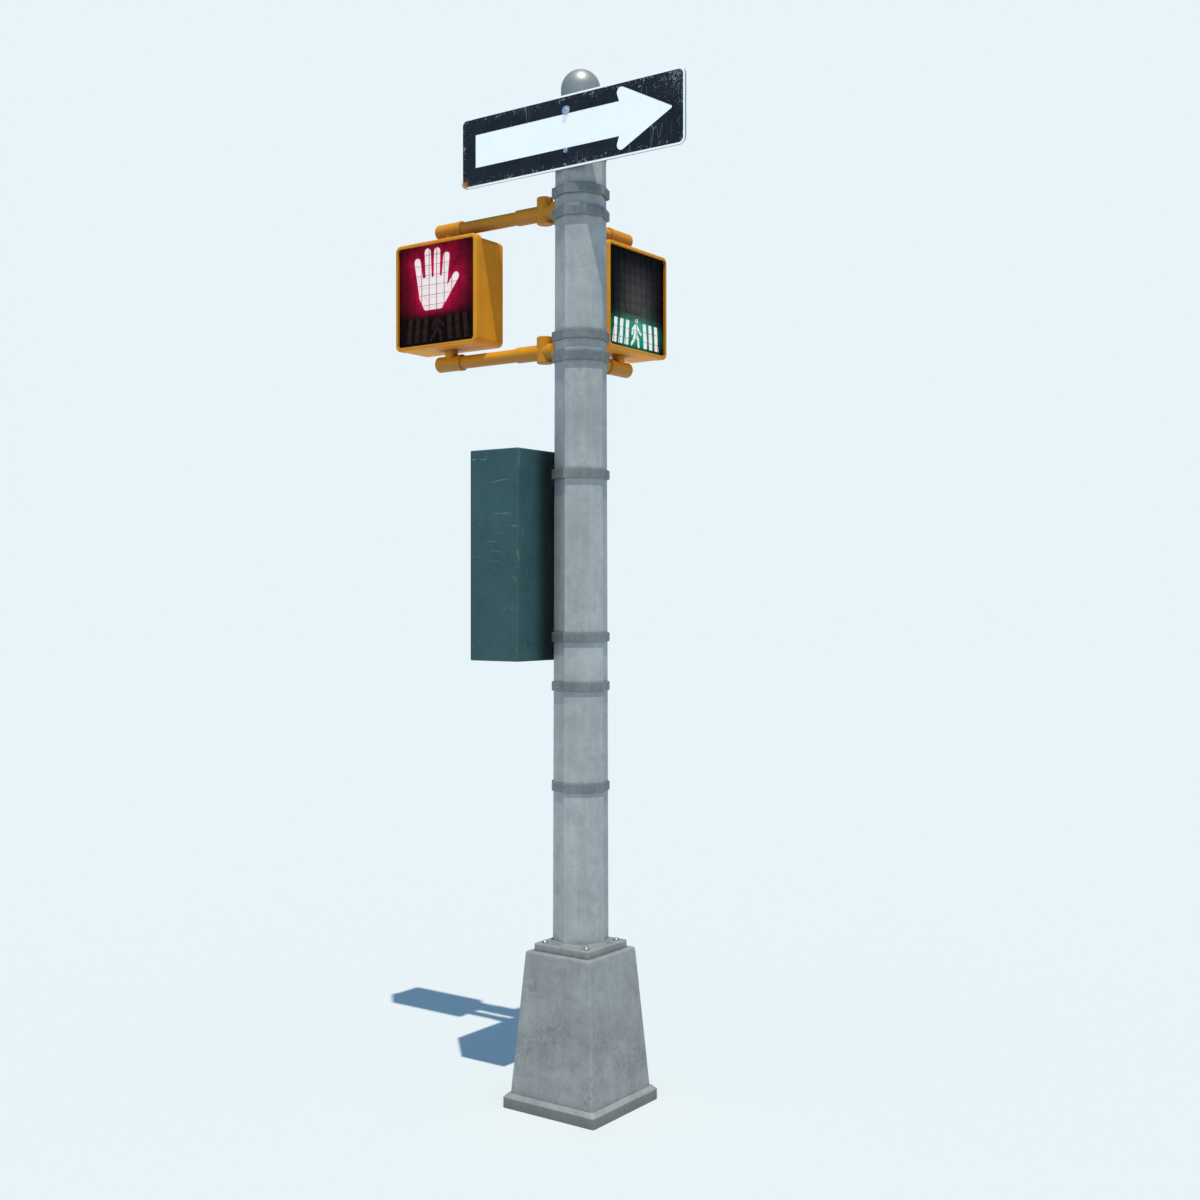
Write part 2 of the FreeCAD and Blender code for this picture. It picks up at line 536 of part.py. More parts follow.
def head_reflector():
    outer = face_loft([(344, 320, 20, -22), (300, 280, 20, 36)])
    inner = face_loft([(340, 316, 18, -23), (296, 276, 18, 34)])
    hollow = cut(outer, inner)
    feet = [box(sx * 120 - 8, sx * 120 + 8, 36, HEAD_REAR_Y - HEAD_WALL, z - 8, z + 8)
            for sx in (-1, 1) for z in (110, HEAD_HEIGHT - 110)]
    return fuse(hollow, *feet)


def head_lamps():
    """Three tube lamps, each with a holder at both ends that stands on the reflector's floor."""
    lamps = []
    for z in (108.0, 208.0, 292.0):
        tube = rod(9, V(-118, 6, z), V(118, 6, z))
        holders = [box(sx * 124 - 6, sx * 124 + 6, -4, 34, z - 12, z + 12) for sx in (-1, 1)]
        lamps.append(fuse(tube, *holders))
    return lamps


def head_door():
    """Front frame with a lens rebate and hinge knuckles, its latch tongue, and the retainer behind the lens."""
    ring = face_plate(head_centred((HEAD_WIDTH, HEAD_HEIGHT), 24), HEAD_FRONT_Y, HEAD_PARTING_Y)
    front = [e for e in ring.Edges if all(abs(v.Y - HEAD_FRONT_Y) < 0.01 for v in e.Vertexes)]
    ring = ring.makeFillet(9, front)
    opening = face_plate(head_centred(FRAME_OPENING, 12), HEAD_FRONT_Y - 1, HEAD_PARTING_Y + 1)
    rebate_size = (LENS_SIZE[0] + 1, LENS_SIZE[1] + 1)
    rebate = face_plate(head_centred(rebate_size, 15), LIP_BACK_Y, HEAD_PARTING_Y + 1)
    body = cut(ring, opening, rebate)
    axis = V(DOOR_AXIS_X, DOOR_AXIS_Y, 0)
    for centre in DOOR_KNUCKLE_Z:
        for side in (-1, 1):
            low, high = sorted((centre + side * 9.4, centre + side * 21))
            knuckle = rod(KNUCKLE_RADIUS, axis + V(0, 0, low), axis + V(0, 0, high))
            web = box(DOOR_AXIS_X - KNUCKLE_RADIUS, -198.2, HEAD_PARTING_Y - 4, DOOR_AXIS_Y, low, high)
            bore = rod(DOOR_PIN_RADIUS + RUNNING_GAP, axis + V(0, 0, low), axis + V(0, 0, high))
            body = fuse(body, cut(fuse(knuckle, web), bore))
    tongue = box(LATCH_X - 10, LATCH_X + 10, HEAD_PARTING_Y, LATCH_Y_IN_HEAD + 10, TONGUE_LOW_Z, TONGUE_HIGH_Z)
    screw_hole = rod(3, V(LATCH_X, LATCH_Y_IN_HEAD, BOX_HIGH_Z), V(LATCH_X, LATCH_Y_IN_HEAD, HEAD_HEIGHT + 5))
    inner = (FRAME_OPENING[0] + 2, FRAME_OPENING[1] + 2)
    retainer = face_plate(head_centred(rebate_size, 15), LENS_FRONT_Y + LENS_THICKNESS, HEAD_PARTING_Y,
                          [head_centred(inner, 12)])
    return [body, cut(tongue, screw_hole), retainer]


def head_hinge_pins():
    axis = V(DOOR_AXIS_X, DOOR_AXIS_Y, 0)
    return [fuse(rod(DOOR_PIN_RADIUS, axis + V(0, 0, z - 23), axis + V(0, 0, z + 23)),
                 rod(3.5, axis + V(0, 0, z + 21.2), axis + V(0, 0, z + 23))) for z in DOOR_KNUCKLE_Z]


def latch_screw():
    """Captive thumb screw in the door's tongue, backed out of the housing's top."""
    x, y = LATCH_X, LATCH_Y_IN_HEAD
    knob = rod(8, V(x, y, TONGUE_HIGH_Z), V(x, y, TONGUE_HIGH_Z + 5.5))
    knob = knob.makeChamfer(1.5, [e for e in knob.Edges if e.Closed])
    return fuse(knob, rod(3, V(x, y, BOX_HIGH_Z + 0.4), V(x, y, TONGUE_HIGH_Z)))


def lens():
    return face_plate(head_centred(LENS_SIZE, 14), LENS_FRONT_Y, LENS_FRONT_Y + LENS_THICKNESS)


def lens_gasket():
    inner = (FRAME_OPENING[0] + 2, FRAME_OPENING[1] + 2)
    return face_plate(head_centred(LENS_SIZE, 14), LIP_BACK_Y, LENS_FRONT_Y, [head_centred(inner, 12)])


def grille():
    """Shallow square-cell screen in the frame's opening."""
    width, height = FRAME_OPENING[0] - 0.6, FRAME_OPENING[1] - 0.6
    left, bottom = -width / 2, (HEAD_HEIGHT - height) / 2
    pitch_x, pitch_z = width / GRID_COUNT, height / GRID_COUNT
    last = GRID_COUNT - 1
    outer_corners = {(0, 0): 0, (last, 0): 1, (last, last): 2, (0, last): 3}
    cells = []
    for column in range(GRID_COUNT):
        for row in range(GRID_COUNT):
            middle = (left + (column + 0.5) * pitch_x, bottom + (row + 0.5) * pitch_z)
            cell = rounded_rectangle(pitch_x - GRID_RIB, pitch_z - GRID_RIB, 0, middle)
            if (column, row) in outer_corners:
                corner = outer_corners[column, row]
                cell[corner] = (*cell[corner][:2], 11.0)
            cells.append(cell)
    return face_plate(head_centred((width, height), 11.7), LIP_BACK_Y - GRID_DEPTH, LIP_BACK_Y, cells)


def bar(start, end, radius):
    """Round-ended bar in the face plane, as a plate on the lens."""
    (x0, z0), (x1, z1) = start, end
    length = math.hypot(x1 - x0, z1 - z0)
    outline = rounded_rectangle(length + 2 * radius, 2 * radius, radius * 0.999, (length / 2, 0))
    plate = face_plate(outline, LENS_FRONT_Y - SYMBOL_THICKNESS, LENS_FRONT_Y)
    plate.rotate(V(0, 0, 0), Y_AXIS, -math.degrees(math.atan2(z1 - z0, x1 - x0)))
    plate.translate(V(x0, 0, z0))
    return plate


def raised_hand():
    """Stop symbol: an open hand, fingers up."""
    fingers = [((-77, 220), (-98, 330)), ((-40, 220), (-47, 362)), ((-3, 220), (0, 360)), ((33, 218), (46, 338))]
    thumb = ((28, 176), (92, 258))
    palm = face_plate([(-92, 268, 5), (-90, 196, 30), (-62, 146, 12), (24, 146, 12), (50, 196, 20), (48, 268, 5)],
                      LENS_FRONT_Y - SYMBOL_THICKNESS, LENS_FRONT_Y)
    return fuse(palm, *[bar(start, end, 15.0) for start, end in fingers + [thumb]])


def walking_figure():
    """Walk symbol: a striding figure."""
    limbs = (((2, 104), (-2, 80), 11.0), ((-1, 76), (17, 54), 7.0), ((17, 54), (19, 31), 6.0),
             ((-4, 76), (-13, 53), 7.0), ((-13, 53), (-31, 34), 6.0), ((4, 107), (24, 89), 5.2),
             ((24, 89), (35, 79), 4.6), ((-4, 107), (-21, 92), 5.2), ((-21, 92), (-24, 74), 4.6))
    head = bar((5, 125.6), (5.6, 126.2), 8.4)
    return [fuse(*[bar(start, end, radius) for start, end, radius in limbs]), head]


def crossing_bars():
    """Slanted crossing stripes on both sides of the walking figure."""
    stripes = []
    for side in (-1, 1):
        for step in range(3):
            x = side * (66 + 39 * step)
            corners = [(x - 12, 28, 1.5), (x + 14, 28, 1.5), (x + 12 - side * 10, 122, 1.5),
                       (x - 8 - side * 10, 122, 1.5)]
            stripes.append(face_plate(corners, LENS_FRONT_Y - SYMBOL_THICKNESS, LENS_FRONT_Y))
    return stripes


def head_symbols():
    return [raised_hand()] + walking_figure() + crossing_bars()


def place_head(shape, side):
    """Put a shape from the head's own frame onto its arm."""
    placed = shape.copy()
    if side == "right":
        placed = placed.mirror(V(0, 0, 0), X_AXIS)
        placed.rotate(V(0, 0, 0), Z_AXIS, 90)
    placed.translate(along(HEAD_BOTTOM_Z, *HEAD_PLACES[side]))
    return placed


def symbols_for(side):
    """Symbols keep their reading direction on both heads."""
    solids = head_symbols()
    if side == "right":
        solids = [solid.mirror(V(0, 0, 0), X_AXIS) for solid in solids]
    return solids


def save_head(side):
    groups = {
        "housing": [head_housing()], "nipples": head_nipples(), "reflector": [head_reflector()],
        "lamps": head_lamps(), "door": head_door(), "hinge_pins": head_hinge_pins(),
        "latch_screw": [latch_screw()], "lens": [lens()], "lens_gasket": [lens_gasket()],
        "grille": [grille()], "symbols": symbols_for(side)}
    for name, solids in groups.items():
        save(f"{side}_{name}", *[place_head(solid, side) for solid in solids])


# ---- sign -------------------------------------------------------------------------------------
def sign_outline(inset=0.0):
    return rounded_rectangle(SIGN_WIDTH - 2 * inset, SIGN_HEIGHT - 2 * inset, SIGN_CORNER - inset,
                             (SIGN_CENTRE_X, SIGN_CENTRE_Z))


def arrow_outline():
    """Arrow to the right with rounded barbs."""
    middle, shaft_half, barb_half = SIGN_CENTRE_Z + 2, 59.5, 126.0
    tail, neck, barb, tip = (SIGN_CENTRE_X + offset for offset in (-415.0, 219.5, 196.5, 438.0))
    return [(tail, middle - shaft_half, 0), (neck, middle - shaft_half, 0), (barb, middle - barb_half, 18),
            (tip, middle, 5), (barb, middle + barb_half, 18), (neck, middle + shaft_half, 0),
            (tail, middle + shaft_half, 0)]


BLANK_FRONT_Y = SIGN_FRONT_Y + FACE_THICKNESS + FILM_THICKNESS


def sign_holes(radius):
    span = V(0, SIGN_DEPTH, 0)
    return [rod(radius, V(SIGN_BOLT_X, SIGN_FRONT_Y, z) - span, V(SIGN_BOLT_X, SIGN_FRONT_Y, z) + span)
            for z in SIGN_BOLT_Z]


def sign_blank():
    """Aluminium sheet with a turned-back edge."""
    back = SIGN_FRONT_Y + SIGN_DEPTH
    body = face_plate(sign_outline(), BLANK_FRONT_Y, back)
    pan = face_plate(sign_outline(2.5), BLANK_FRONT_Y + SIGN_SHEET, back + 1)
    return cut(body, pan, *sign_holes(4.2))


def sign_white_face():
    sheet = face_plate(sign_outline(), SIGN_FRONT_Y + FILM_THICKNESS, BLANK_FRONT_Y)
    return cut(sheet, *sign_holes(4.2))


def sign_dark_film():
    film = face_plate(sign_outline(SIGN_BORDER), SIGN_FRONT_Y, SIGN_FRONT_Y + FILM_THICKNESS, [arrow_outline()])
    return cut(film, *sign_holes(4.2))


def sign_brackets():
    """Two grooved blocks on the pole's front corner, each held by a thin strap round the pole."""
    pieces = []
    for z in SIGN_BOLT_Z:
        low, high = z - 20, z + 20
        block = box(-30, 44, BLANK_FRONT_Y + SIGN_SHEET, -74, low, high)
        strap = octagon_body(pole_radius(z) + 2.2, z - 9, pole_radius(z) + 2.2, z + 9)
        hole = rod(4, V(SIGN_BOLT_X, SIGN_FRONT_Y, z), V(SIGN_BOLT_X, -60, z))
        pole = pole_slice(z - 40, z + 40)
        pieces += [cut(block, pole, strap, hole), cut(strap, pole, hole)]
    return pieces


def sign_bolts():
    """An upper bolt with a broad washer and a plain lower bolt."""
    lower, upper = (V(SIGN_BOLT_X, SIGN_FRONT_Y, z) for z in SIGN_BOLT_Z)
    into = V(0, 12.5, 0)
    washer = pipe(16, 4, upper - V(0, 2, 0), upper)
    return [washer, hex_bolt(9.5, 6, 4, upper - V(0, 2, 0), upper + into), hex_bolt(9, 5.5, 4, lower, lower + into)]


# ---- cabinet ----------------------------------------------------------------------------------
CABINET_MIDDLE_Z = (CABINET_BOTTOM_Z + CABINET_TOP_Z) / 2
CABINET_BOLTS = [(sy * 20.0, z + sz * 26.0) for z in CABINET_BAND_Z for sy in (-1, 1) for sz in (-1, 1)]


def cabinet_brackets():
    """Grooved blocks between the pole's corner and the cabinet's back, with a slot for each band."""
    pieces = []
    for z in CABINET_BAND_Z:
        block = box(CABINET_BACK_X, -68, -35, 35, z - 38, z + 38)
        band = octagon_body(BAND_RADIUS, z - BAND_HEIGHT / 2, BAND_RADIUS, z + BAND_HEIGHT / 2)
        holes = [rod(4, V(CABINET_BACK_X - 1, y, bz), V(-60, y, bz)) for y, bz in CABINET_BOLTS if abs(bz - z) < 50]
        pieces.append(cut(block, pole_slice(z - 60, z + 60), band, *holes))
    return pieces


def cabinet_shell():
    half, wall = CABINET_HALF_WIDTH, CABINET_WALL
    body = box(CABINET_FRONT_X, CABINET_BACK_X, -half, half, CABINET_BOTTOM_Z, CABINET_TOP_Z)
    long_edges = [e for e in body.Edges if not all(abs(v.X - CABINET_FRONT_X) < 0.01 for v in e.Vertexes)]
    body = body.makeFillet(CABINET_CORNER, long_edges)
    inside = box(CABINET_FRONT_X + 14, CABINET_BACK_X - wall, -half + wall, half - wall,
                 CABINET_BOTTOM_Z + wall, CABINET_TOP_Z - wall)
    mouth_low, mouth_high = CABINET_BOTTOM_Z + DOOR_MARGIN, CABINET_TOP_Z - DOOR_MARGIN
    mouth = box(CABINET_FRONT_X - 1, CABINET_FRONT_X + 20, -half + DOOR_MARGIN, half - DOOR_MARGIN,
                mouth_low, mouth_high)
    lip = 8.0
    frame_space = box(CABINET_FRONT_X + 7, CABINET_FRONT_X + 15, -half + wall, half - wall,
                      CABINET_BOTTOM_Z + wall, CABINET_TOP_Z - wall)
    ledge = box(CABINET_FRONT_X + 7, CABINET_FRONT_X + 10, -half + wall, half - wall,
                CABINET_BOTTOM_Z + wall, CABINET_TOP_Z - wall)
    ledge = ledge.cut(box(CABINET_FRONT_X, CABINET_FRONT_X + 20, -half + DOOR_MARGIN + lip,
                          half - DOOR_MARGIN - lip, mouth_low + lip, mouth_high - lip))
    bolt_holes = [rod(4, V(CABINET_BACK_X - 8, y, z), V(CABINET_BACK_X + 1, y, z)) for y, z in CABINET_BOLTS]
    cable_entry = rod(14, V(CABINET_BACK_X - 10, 0, 1900), V(CABINET_BACK_X + 1, 0, 1900))
    knuckles = [hinge_barrel(z, -24, 24) for z in HINGE_Z]
    shell = cut(body, inside, mouth, frame_space, cable_entry, *bolt_holes)
    return fuse(shell, ledge, *knuckles)


HINGE_Z = (CABINET_BOTTOM_Z + 110, CABINET_TOP_Z - 110)


def hinge_barrel(z, low, high):
    """Barrel of a cabinet hinge with a leaf to the cabinet's front edge."""
    axis = V(CABINET_HINGE_X, CABINET_HINGE_Y, z)
    barrel = rod(5, axis + V(0, 0, low), axis + V(0, 0, high))
    leaf = box(CABINET_HINGE_X, CABINET_FRONT_X, CABINET_HINGE_Y + 0.8, CABINET_HALF_WIDTH - 6, z + low, z + high)
    return cut(fuse(barrel, leaf), rod(CABINET_PIN_RADIUS, axis + V(0, 0, low), axis + V(0, 0, high)))


def cabinet_door():
    """Flush door with turned-in edges, hinge barrels and a hole for the latch."""
    half = CABINET_HALF_WIDTH - DOOR_MARGIN - DOOR_REVEAL
    low, high = CABINET_BOTTOM_Z + DOOR_MARGIN + DOOR_REVEAL, CABINET_TOP_Z - DOOR_MARGIN - DOOR_REVEAL
    sheet = box(CABINET_FRONT_X, CABINET_FRONT_X + DOOR_SHEET, -half, half, low, high)
    stiffener = box(CABINET_FRONT_X + DOOR_SHEET, CABINET_FRONT_X + 16, -60, 60, low + 80, high - 80)
    stiffener = stiffener.cut(box(CABINET_FRONT_X + DOOR_SHEET, CABINET_FRONT_X + 14, -58, 58, low, high))
    latch_hole = rod(8 + RUNNING_GAP, V(CABINET_FRONT_X - 1, LATCH_Y, CABINET_MIDDLE_Z),
                     V(CABINET_FRONT_X + 4, LATCH_Y, CABINET_MIDDLE_Z))
    body = fuse(cut(sheet, latch_hole), stiffener)
    for z in HINGE_Z:
        axis = V(CABINET_HINGE_X, CABINET_HINGE_Y, z)
        for start, end in ((-48, -24.6), (24.6, 48)):
            barrel = rod(5, axis + V(0, 0, start), axis + V(0, 0, end))
            leaf = box(CABINET_HINGE_X, CABINET_FRONT_X, CABINET_HINGE_Y - 22, CABINET_HINGE_Y - 2.5,
                       z + start, z + end)
            bore = rod(CABINET_PIN_RADIUS + RUNNING_GAP, axis + V(0, 0, start), axis + V(0, 0, end))
            body = fuse(body, cut(fuse(barrel, leaf), bore))
    return body


LATCH_Y = -185.0


def cabinet_door_gasket():
    """Foam strip on the door's inner edge, which closes on the ledge."""
    half = CABINET_HALF_WIDTH - DOOR_MARGIN - DOOR_REVEAL
    low, high = CABINET_BOTTOM_Z + DOOR_MARGIN + DOOR_REVEAL, CABINET_TOP_Z - DOOR_MARGIN - DOOR_REVEAL
    x0, x1 = CABINET_FRONT_X + DOOR_SHEET, CABINET_FRONT_X + 6.7
    return box(x0, x1, -half, half, low, high).cut(box(x0, x1, -half + 8, half - 8, low + 8, high - 8))


def cabinet_hinge_pins():
    pins = []
    for z in HINGE_Z:
        axis = V(CABINET_HINGE_X, CABINET_HINGE_Y, z)
        pins.append(fuse(rod(CABINET_PIN_RADIUS, axis - V(0, 0, 50), axis + V(0, 0, 50)),
                         rod(4.5, axis + V(0, 0, 48.3), axis + V(0, 0, 51))))
    return pins


def cabinet_latch():
    """Quarter-turn handle outside, spindle through the door, cam inside."""
    z = CABINET_MIDDLE_Z
    spindle = rod(8, V(CABINET_FRONT_X - 8, LATCH_Y, z), V(CABINET_FRONT_X + 14, LATCH_Y, z))
    rose = rod(17, V(CABINET_FRONT_X - 3, LATCH_Y, z), V(CABINET_FRONT_X - 0.1, LATCH_Y, z))
    grip = box(CABINET_FRONT_X - 16, CABINET_FRONT_X - 6, LATCH_Y - 7, LATCH_Y + 7, z - 62, z + 14)
    grip = grip.makeFillet(3, grip.Edges)
    cam = box(CABINET_FRONT_X + 10.5, CABINET_FRONT_X + 13.5, LATCH_Y - 17.5, LATCH_Y + 10, z - 9, z + 9)
    return fuse(spindle, rose, grip, cam)


PANEL_X = -122.0


def cabinet_backplate():
    """Equipment panel on four standoffs."""
    panel = box(PANEL_X - 3, PANEL_X, -190, 190, CABINET_BOTTOM_Z + 45, CABINET_TOP_Z - 45)
    feet = [rod(7, V(PANEL_X, sy * 165, CABINET_MIDDLE_Z + sz * 290), V(CABINET_BACK_X - CABINET_WALL, sy * 165,
            CABINET_MIDDLE_Z + sz * 290)) for sy in (-1, 1) for sz in (-1, 1)]
    return fuse(panel, *feet)


def signal_controller():
    """Controller, load-switch modules, relay, breaker and terminal strips on the panel."""
    front = PANEL_X - 3
    layout = [(70, -150, 60, 1960, 2220), (55, -150, -95, 1690, 1880), (55, -80, -25, 1690, 1880),
              (55, -10, 45, 1690, 1880), (40, 80, 160, 2080, 2220), (48, 80, 160, 1900, 2040)]
    units = [box(front - depth, front, y0, y1, z0, z1) for depth, y0, y1, z0, z1 in layout]
    units = [unit.makeFillet(3, [e for e in unit.Edges if abs(e.Vertexes[0].X - e.Vertexes[1].X) > 1])
             for unit in units]
    strip = box(front - 22, front, 70, 170, 1640, 1860)
    grooves = [box(front - 23, front - 14, 70, 170, z, z + 3) for z in range(1652, 1856, 14)]
    return units + [cut(strip, *grooves)]


def cabinet_bolts():
    """Bolts from inside the cabinet into the brackets."""
    inside = CABINET_BACK_X - CABINET_WALL
    return [hex_bolt(6.5, 5, 4, V(inside, y, z), V(inside + 15, y, z)) for y, z in CABINET_BOLTS]


# ---- push-button station ----------------------------------------------------------------------
def side_plate(corners, x0, x1, holes=()):
    """Plate whose outline lies in the YZ plane, between x0 and x1."""
    plate = face_plate(corners, x0, x1, holes)
    plate.rotate(V(0, 0, 0), Z_AXIS, -90)
    return plate


SADDLE_SCREWS = [(side * 19.0, z + side * 22.0) for z in BUTTON_BAND_Z for side in (-1, 1)]
HOUSING_SCREWS = [(sy * 41.0, BUTTON_Z + sz * 51.0) for sy in (-1, 1) for sz in (-1, 1)]
PLATE_FRONT_X = PLATE_BACK_X + PLATE_SHEET
HOUSING_FRONT_X = PLATE_FRONT_X + 45.0
BUTTON_FLANGE_X = HOUSING_FRONT_X - 4.0


def on_station(solid):
    """Turn a solid from the station's own frame onto its flat of the pole."""
    return turned(solid, BUTTON_ANGLE)


def button_saddles():
    """Blocks between the pole's flat and the plate, slotted for the bands."""
    pieces = []
    for z in BUTTON_BAND_Z:
        block = on_station(box(80, PLATE_BACK_X, -24, 24, z - 32, z + 32))
        band = octagon_body(BAND_RADIUS, z - BAND_HEIGHT / 2, BAND_RADIUS, z + BAND_HEIGHT / 2)
        holes = [on_station(rod(3, V(70, y, sz), V(110, y, sz))) for y, sz in SADDLE_SCREWS if abs(sz - z) < 50]
        pieces.append(cut(block, pole_slice(z - 60, z + 60), band, *holes))
    return pieces


def button_plate():
    height = PLATE_TOP_Z - PLATE_BOTTOM_Z
    outline = rounded_rectangle(2 * PLATE_HALF_WIDTH, height, 14, (0, PLATE_BOTTOM_Z + height / 2))
    plate = side_plate(outline, PLATE_BACK_X, PLATE_FRONT_X)
    holes = [rod(3, V(90, y, z), V(110, y, z)) for y, z in SADDLE_SCREWS + HOUSING_SCREWS]
    wire_hole = rod(9, V(90, 0, BUTTON_Z + 40), V(110, 0, BUTTON_Z + 40))
    return on_station(cut(plate, wire_hole, *holes))


def button_housing():
    outline = rounded_rectangle(100, 124, 16, (0, BUTTON_Z))
    cup = side_plate(outline, PLATE_FRONT_X, HOUSING_FRONT_X)
    front = [e for e in cup.Edges if all(abs(v.X - HOUSING_FRONT_X) < 0.01 for v in e.Vertexes)]
    cup = cup.makeFillet(5, front)
    cavity = side_plate(rounded_rectangle(92, 116, 12, (0, BUTTON_Z)), PLATE_FRONT_X - 1, BUTTON_FLANGE_X)
    centre = V(0, 0, BUTTON_Z)
    posts = [rod(7.5, V(PLATE_FRONT_X, y, z), V(HOUSING_FRONT_X - 4, y, z)) for y, z in HOUSING_SCREWS]
    collar = pipe(36, BUTTON_RADIUS + 0.08, centre + V(HOUSING_FRONT_X - 4, 0, 0), centre + V(HOUSING_FRONT_X + 9, 0, 0))
    collar = collar.makeChamfer(3, [e for e in collar.Edges if e.Closed and e.CenterOfMass.x > HOUSING_FRONT_X + 8
                                    and e.Length > 200])
    bore = rod(BUTTON_RADIUS + 0.08, centre + V(HOUSING_FRONT_X - 10, 0, 0), centre + V(HOUSING_FRONT_X + 10, 0, 0))
    inner_clear = rod(33, centre + V(PLATE_FRONT_X, 0, 0), centre + V(BUTTON_FLANGE_X, 0, 0))
    screw_holes = [rod(3, V(90, y, z), V(HOUSING_FRONT_X + 2, y, z)) for y, z in HOUSING_SCREWS]
    body = fuse(cut(cup, cavity), *posts)
    return on_station(cut(fuse(cut(body, inner_clear, bore), collar), *screw_holes))


def button_screws():
    saddle = [dome_bolt(5.5, 3.5, 3, V(PLATE_FRONT_X, y, z), V(91, y, z)) for y, z in SADDLE_SCREWS]
    cover = [dome_bolt(5.5, 3.5, 3, V(HOUSING_FRONT_X, y, z), V(PLATE_BACK_X, y, z)) for y, z in HOUSING_SCREWS]
    return [on_station(screw) for screw in saddle + cover]


SWITCH_TOP_X = PLATE_FRONT_X + 13.0


def button_switch():
    return on_station(box(PLATE_FRONT_X, SWITCH_TOP_X, -12, 12, BUTTON_Z - 14, BUTTON_Z + 14))


def button_plunger():
    centre = V(0, 0, BUTTON_Z)
    face_x = HOUSING_FRONT_X + 13.0
    flange = rod(31, centre + V(BUTTON_FLANGE_X - 4, 0, 0), centre + V(BUTTON_FLANGE_X, 0, 0))
    body = rod(BUTTON_RADIUS, centre + V(BUTTON_FLANGE_X - 4, 0, 0), centre + V(face_x, 0, 0))
    body = body.makeFillet(4, [e for e in body.Edges if e.Closed and e.CenterOfMass.x > face_x - 1])
    stem = rod(5, centre + V(SWITCH_TOP_X + BUTTON_TRAVEL + 0.5, 0, 0), centre + V(BUTTON_FLANGE_X, 0, 0))
    return on_station(fuse(flange, body, stem))


def button_spring():
    """Coil spring between the switch and the button's flange."""
    wire_radius, coil_radius = 0.9, 10.0
    length = BUTTON_FLANGE_X - 4 - SWITCH_TOP_X - 2 * wire_radius - 0.1
    helix = Part.makeHelix(length / 4.5, length, coil_radius)
    profile = Part.Wire(Part.makeCircle(wire_radius, V(coil_radius, 0, 0), Y_AXIS))
    coil = Part.Wire(helix.Edges).makePipeShell([profile], True, True)
    coil.rotate(V(0, 0, 0), Y_AXIS, 90)
    coil.translate(V(SWITCH_TOP_X + wire_radius + 0.05, 0, BUTTON_Z))
    return on_station(coil)


# ---- write every node -------------------------------------------------------------------------
save("base_casting", base_casting())
save("handhole_cover", handhole_cover())
save("cap_screws", *cap_screws())
save("pole_flange", pole_flange())
save("flange_bolts", *flange_bolts())
save("pole_shaft", pole_shaft())
save("finial_cap", finial_cap())

save("hub_bands", *[clamp_band(z, 135.0) for z in HUB_BAND_Z])
save("cabinet_bands", *[clamp_band(z, 135.0) for z in CABINET_BAND_Z])
save("button_bands", *[clamp_band(z, 180.0) for z in BUTTON_BAND_Z])
save("band_bolts", *[piece for place in BAND_PLACES for piece in band_bolt(*place)])

save("lower_hub", hub_casting(LOWER_ARM_Z))
save("upper_hub", hub_casting(UPPER_ARM_Z))
for node, maker in (("arm_sleeves", arm_sleeve), ("arm_pipes", arm_pipe), ("lock_collars", lock_collar)):
    save(node, *[maker(*arm) for arm in ARMS])
save("arm_elbows", *[arm_elbow(z, *place) for place in HEAD_PLACES.values() for z in (LOWER_ARM_Z, UPPER_ARM_Z)])

for head_side in ("left", "right"):
    save_head(head_side)

save("sign_brackets", *sign_brackets())
save("sign_blank", sign_blank())
save("sign_white_face", sign_white_face())
save("sign_dark_film", sign_dark_film())
save("sign_bolts", *sign_bolts())

save("cabinet_brackets", *cabinet_brackets())
save("cabinet_shell", cabinet_shell())
save("cabinet_bolts", *cabinet_bolts())
save("cabinet_backplate", cabinet_backplate())
save("signal_controller", *signal_controller())
save("cabinet_door", cabinet_door())
save("cabinet_door_gasket", cabinet_door_gasket())
save("cabinet_hinge_pins", *cabinet_hinge_pins())
save("cabinet_latch", cabinet_latch())

save("button_saddles", *button_saddles())
save("button_plate", button_plate())
save("button_housing", button_housing())
save("button_screws", *button_screws())
save("button_switch", button_switch())
save("button_spring", button_spring())
save("button_plunger", button_plunger())
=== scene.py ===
import math

import bpy
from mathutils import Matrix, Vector


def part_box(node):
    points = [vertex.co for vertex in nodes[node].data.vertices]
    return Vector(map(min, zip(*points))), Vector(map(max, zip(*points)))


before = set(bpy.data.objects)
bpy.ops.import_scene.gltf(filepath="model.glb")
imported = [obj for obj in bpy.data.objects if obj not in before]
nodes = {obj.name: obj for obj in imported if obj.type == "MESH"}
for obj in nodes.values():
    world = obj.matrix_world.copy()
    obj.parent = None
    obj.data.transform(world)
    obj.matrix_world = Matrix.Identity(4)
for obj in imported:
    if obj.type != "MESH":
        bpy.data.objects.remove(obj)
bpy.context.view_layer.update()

# Metres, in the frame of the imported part: the pole's axis is Z, the sign and the left head face -Y,
# and the right head faces +X. Angles are in degrees unless they go straight into a node.
LENS_ABOVE_EDGE = 0.008

# The middle of each head's lower edge, across and up, from which the places on its face are measured.
FACE_ORIGINS = {}
for side, across in (("left", 0), ("right", 1)):
    low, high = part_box(f"{side}_lens")
    FACE_ORIGINS[side] = ((low[across] + high[across]) / 2, low.z - LENS_ABOVE_EDGE)


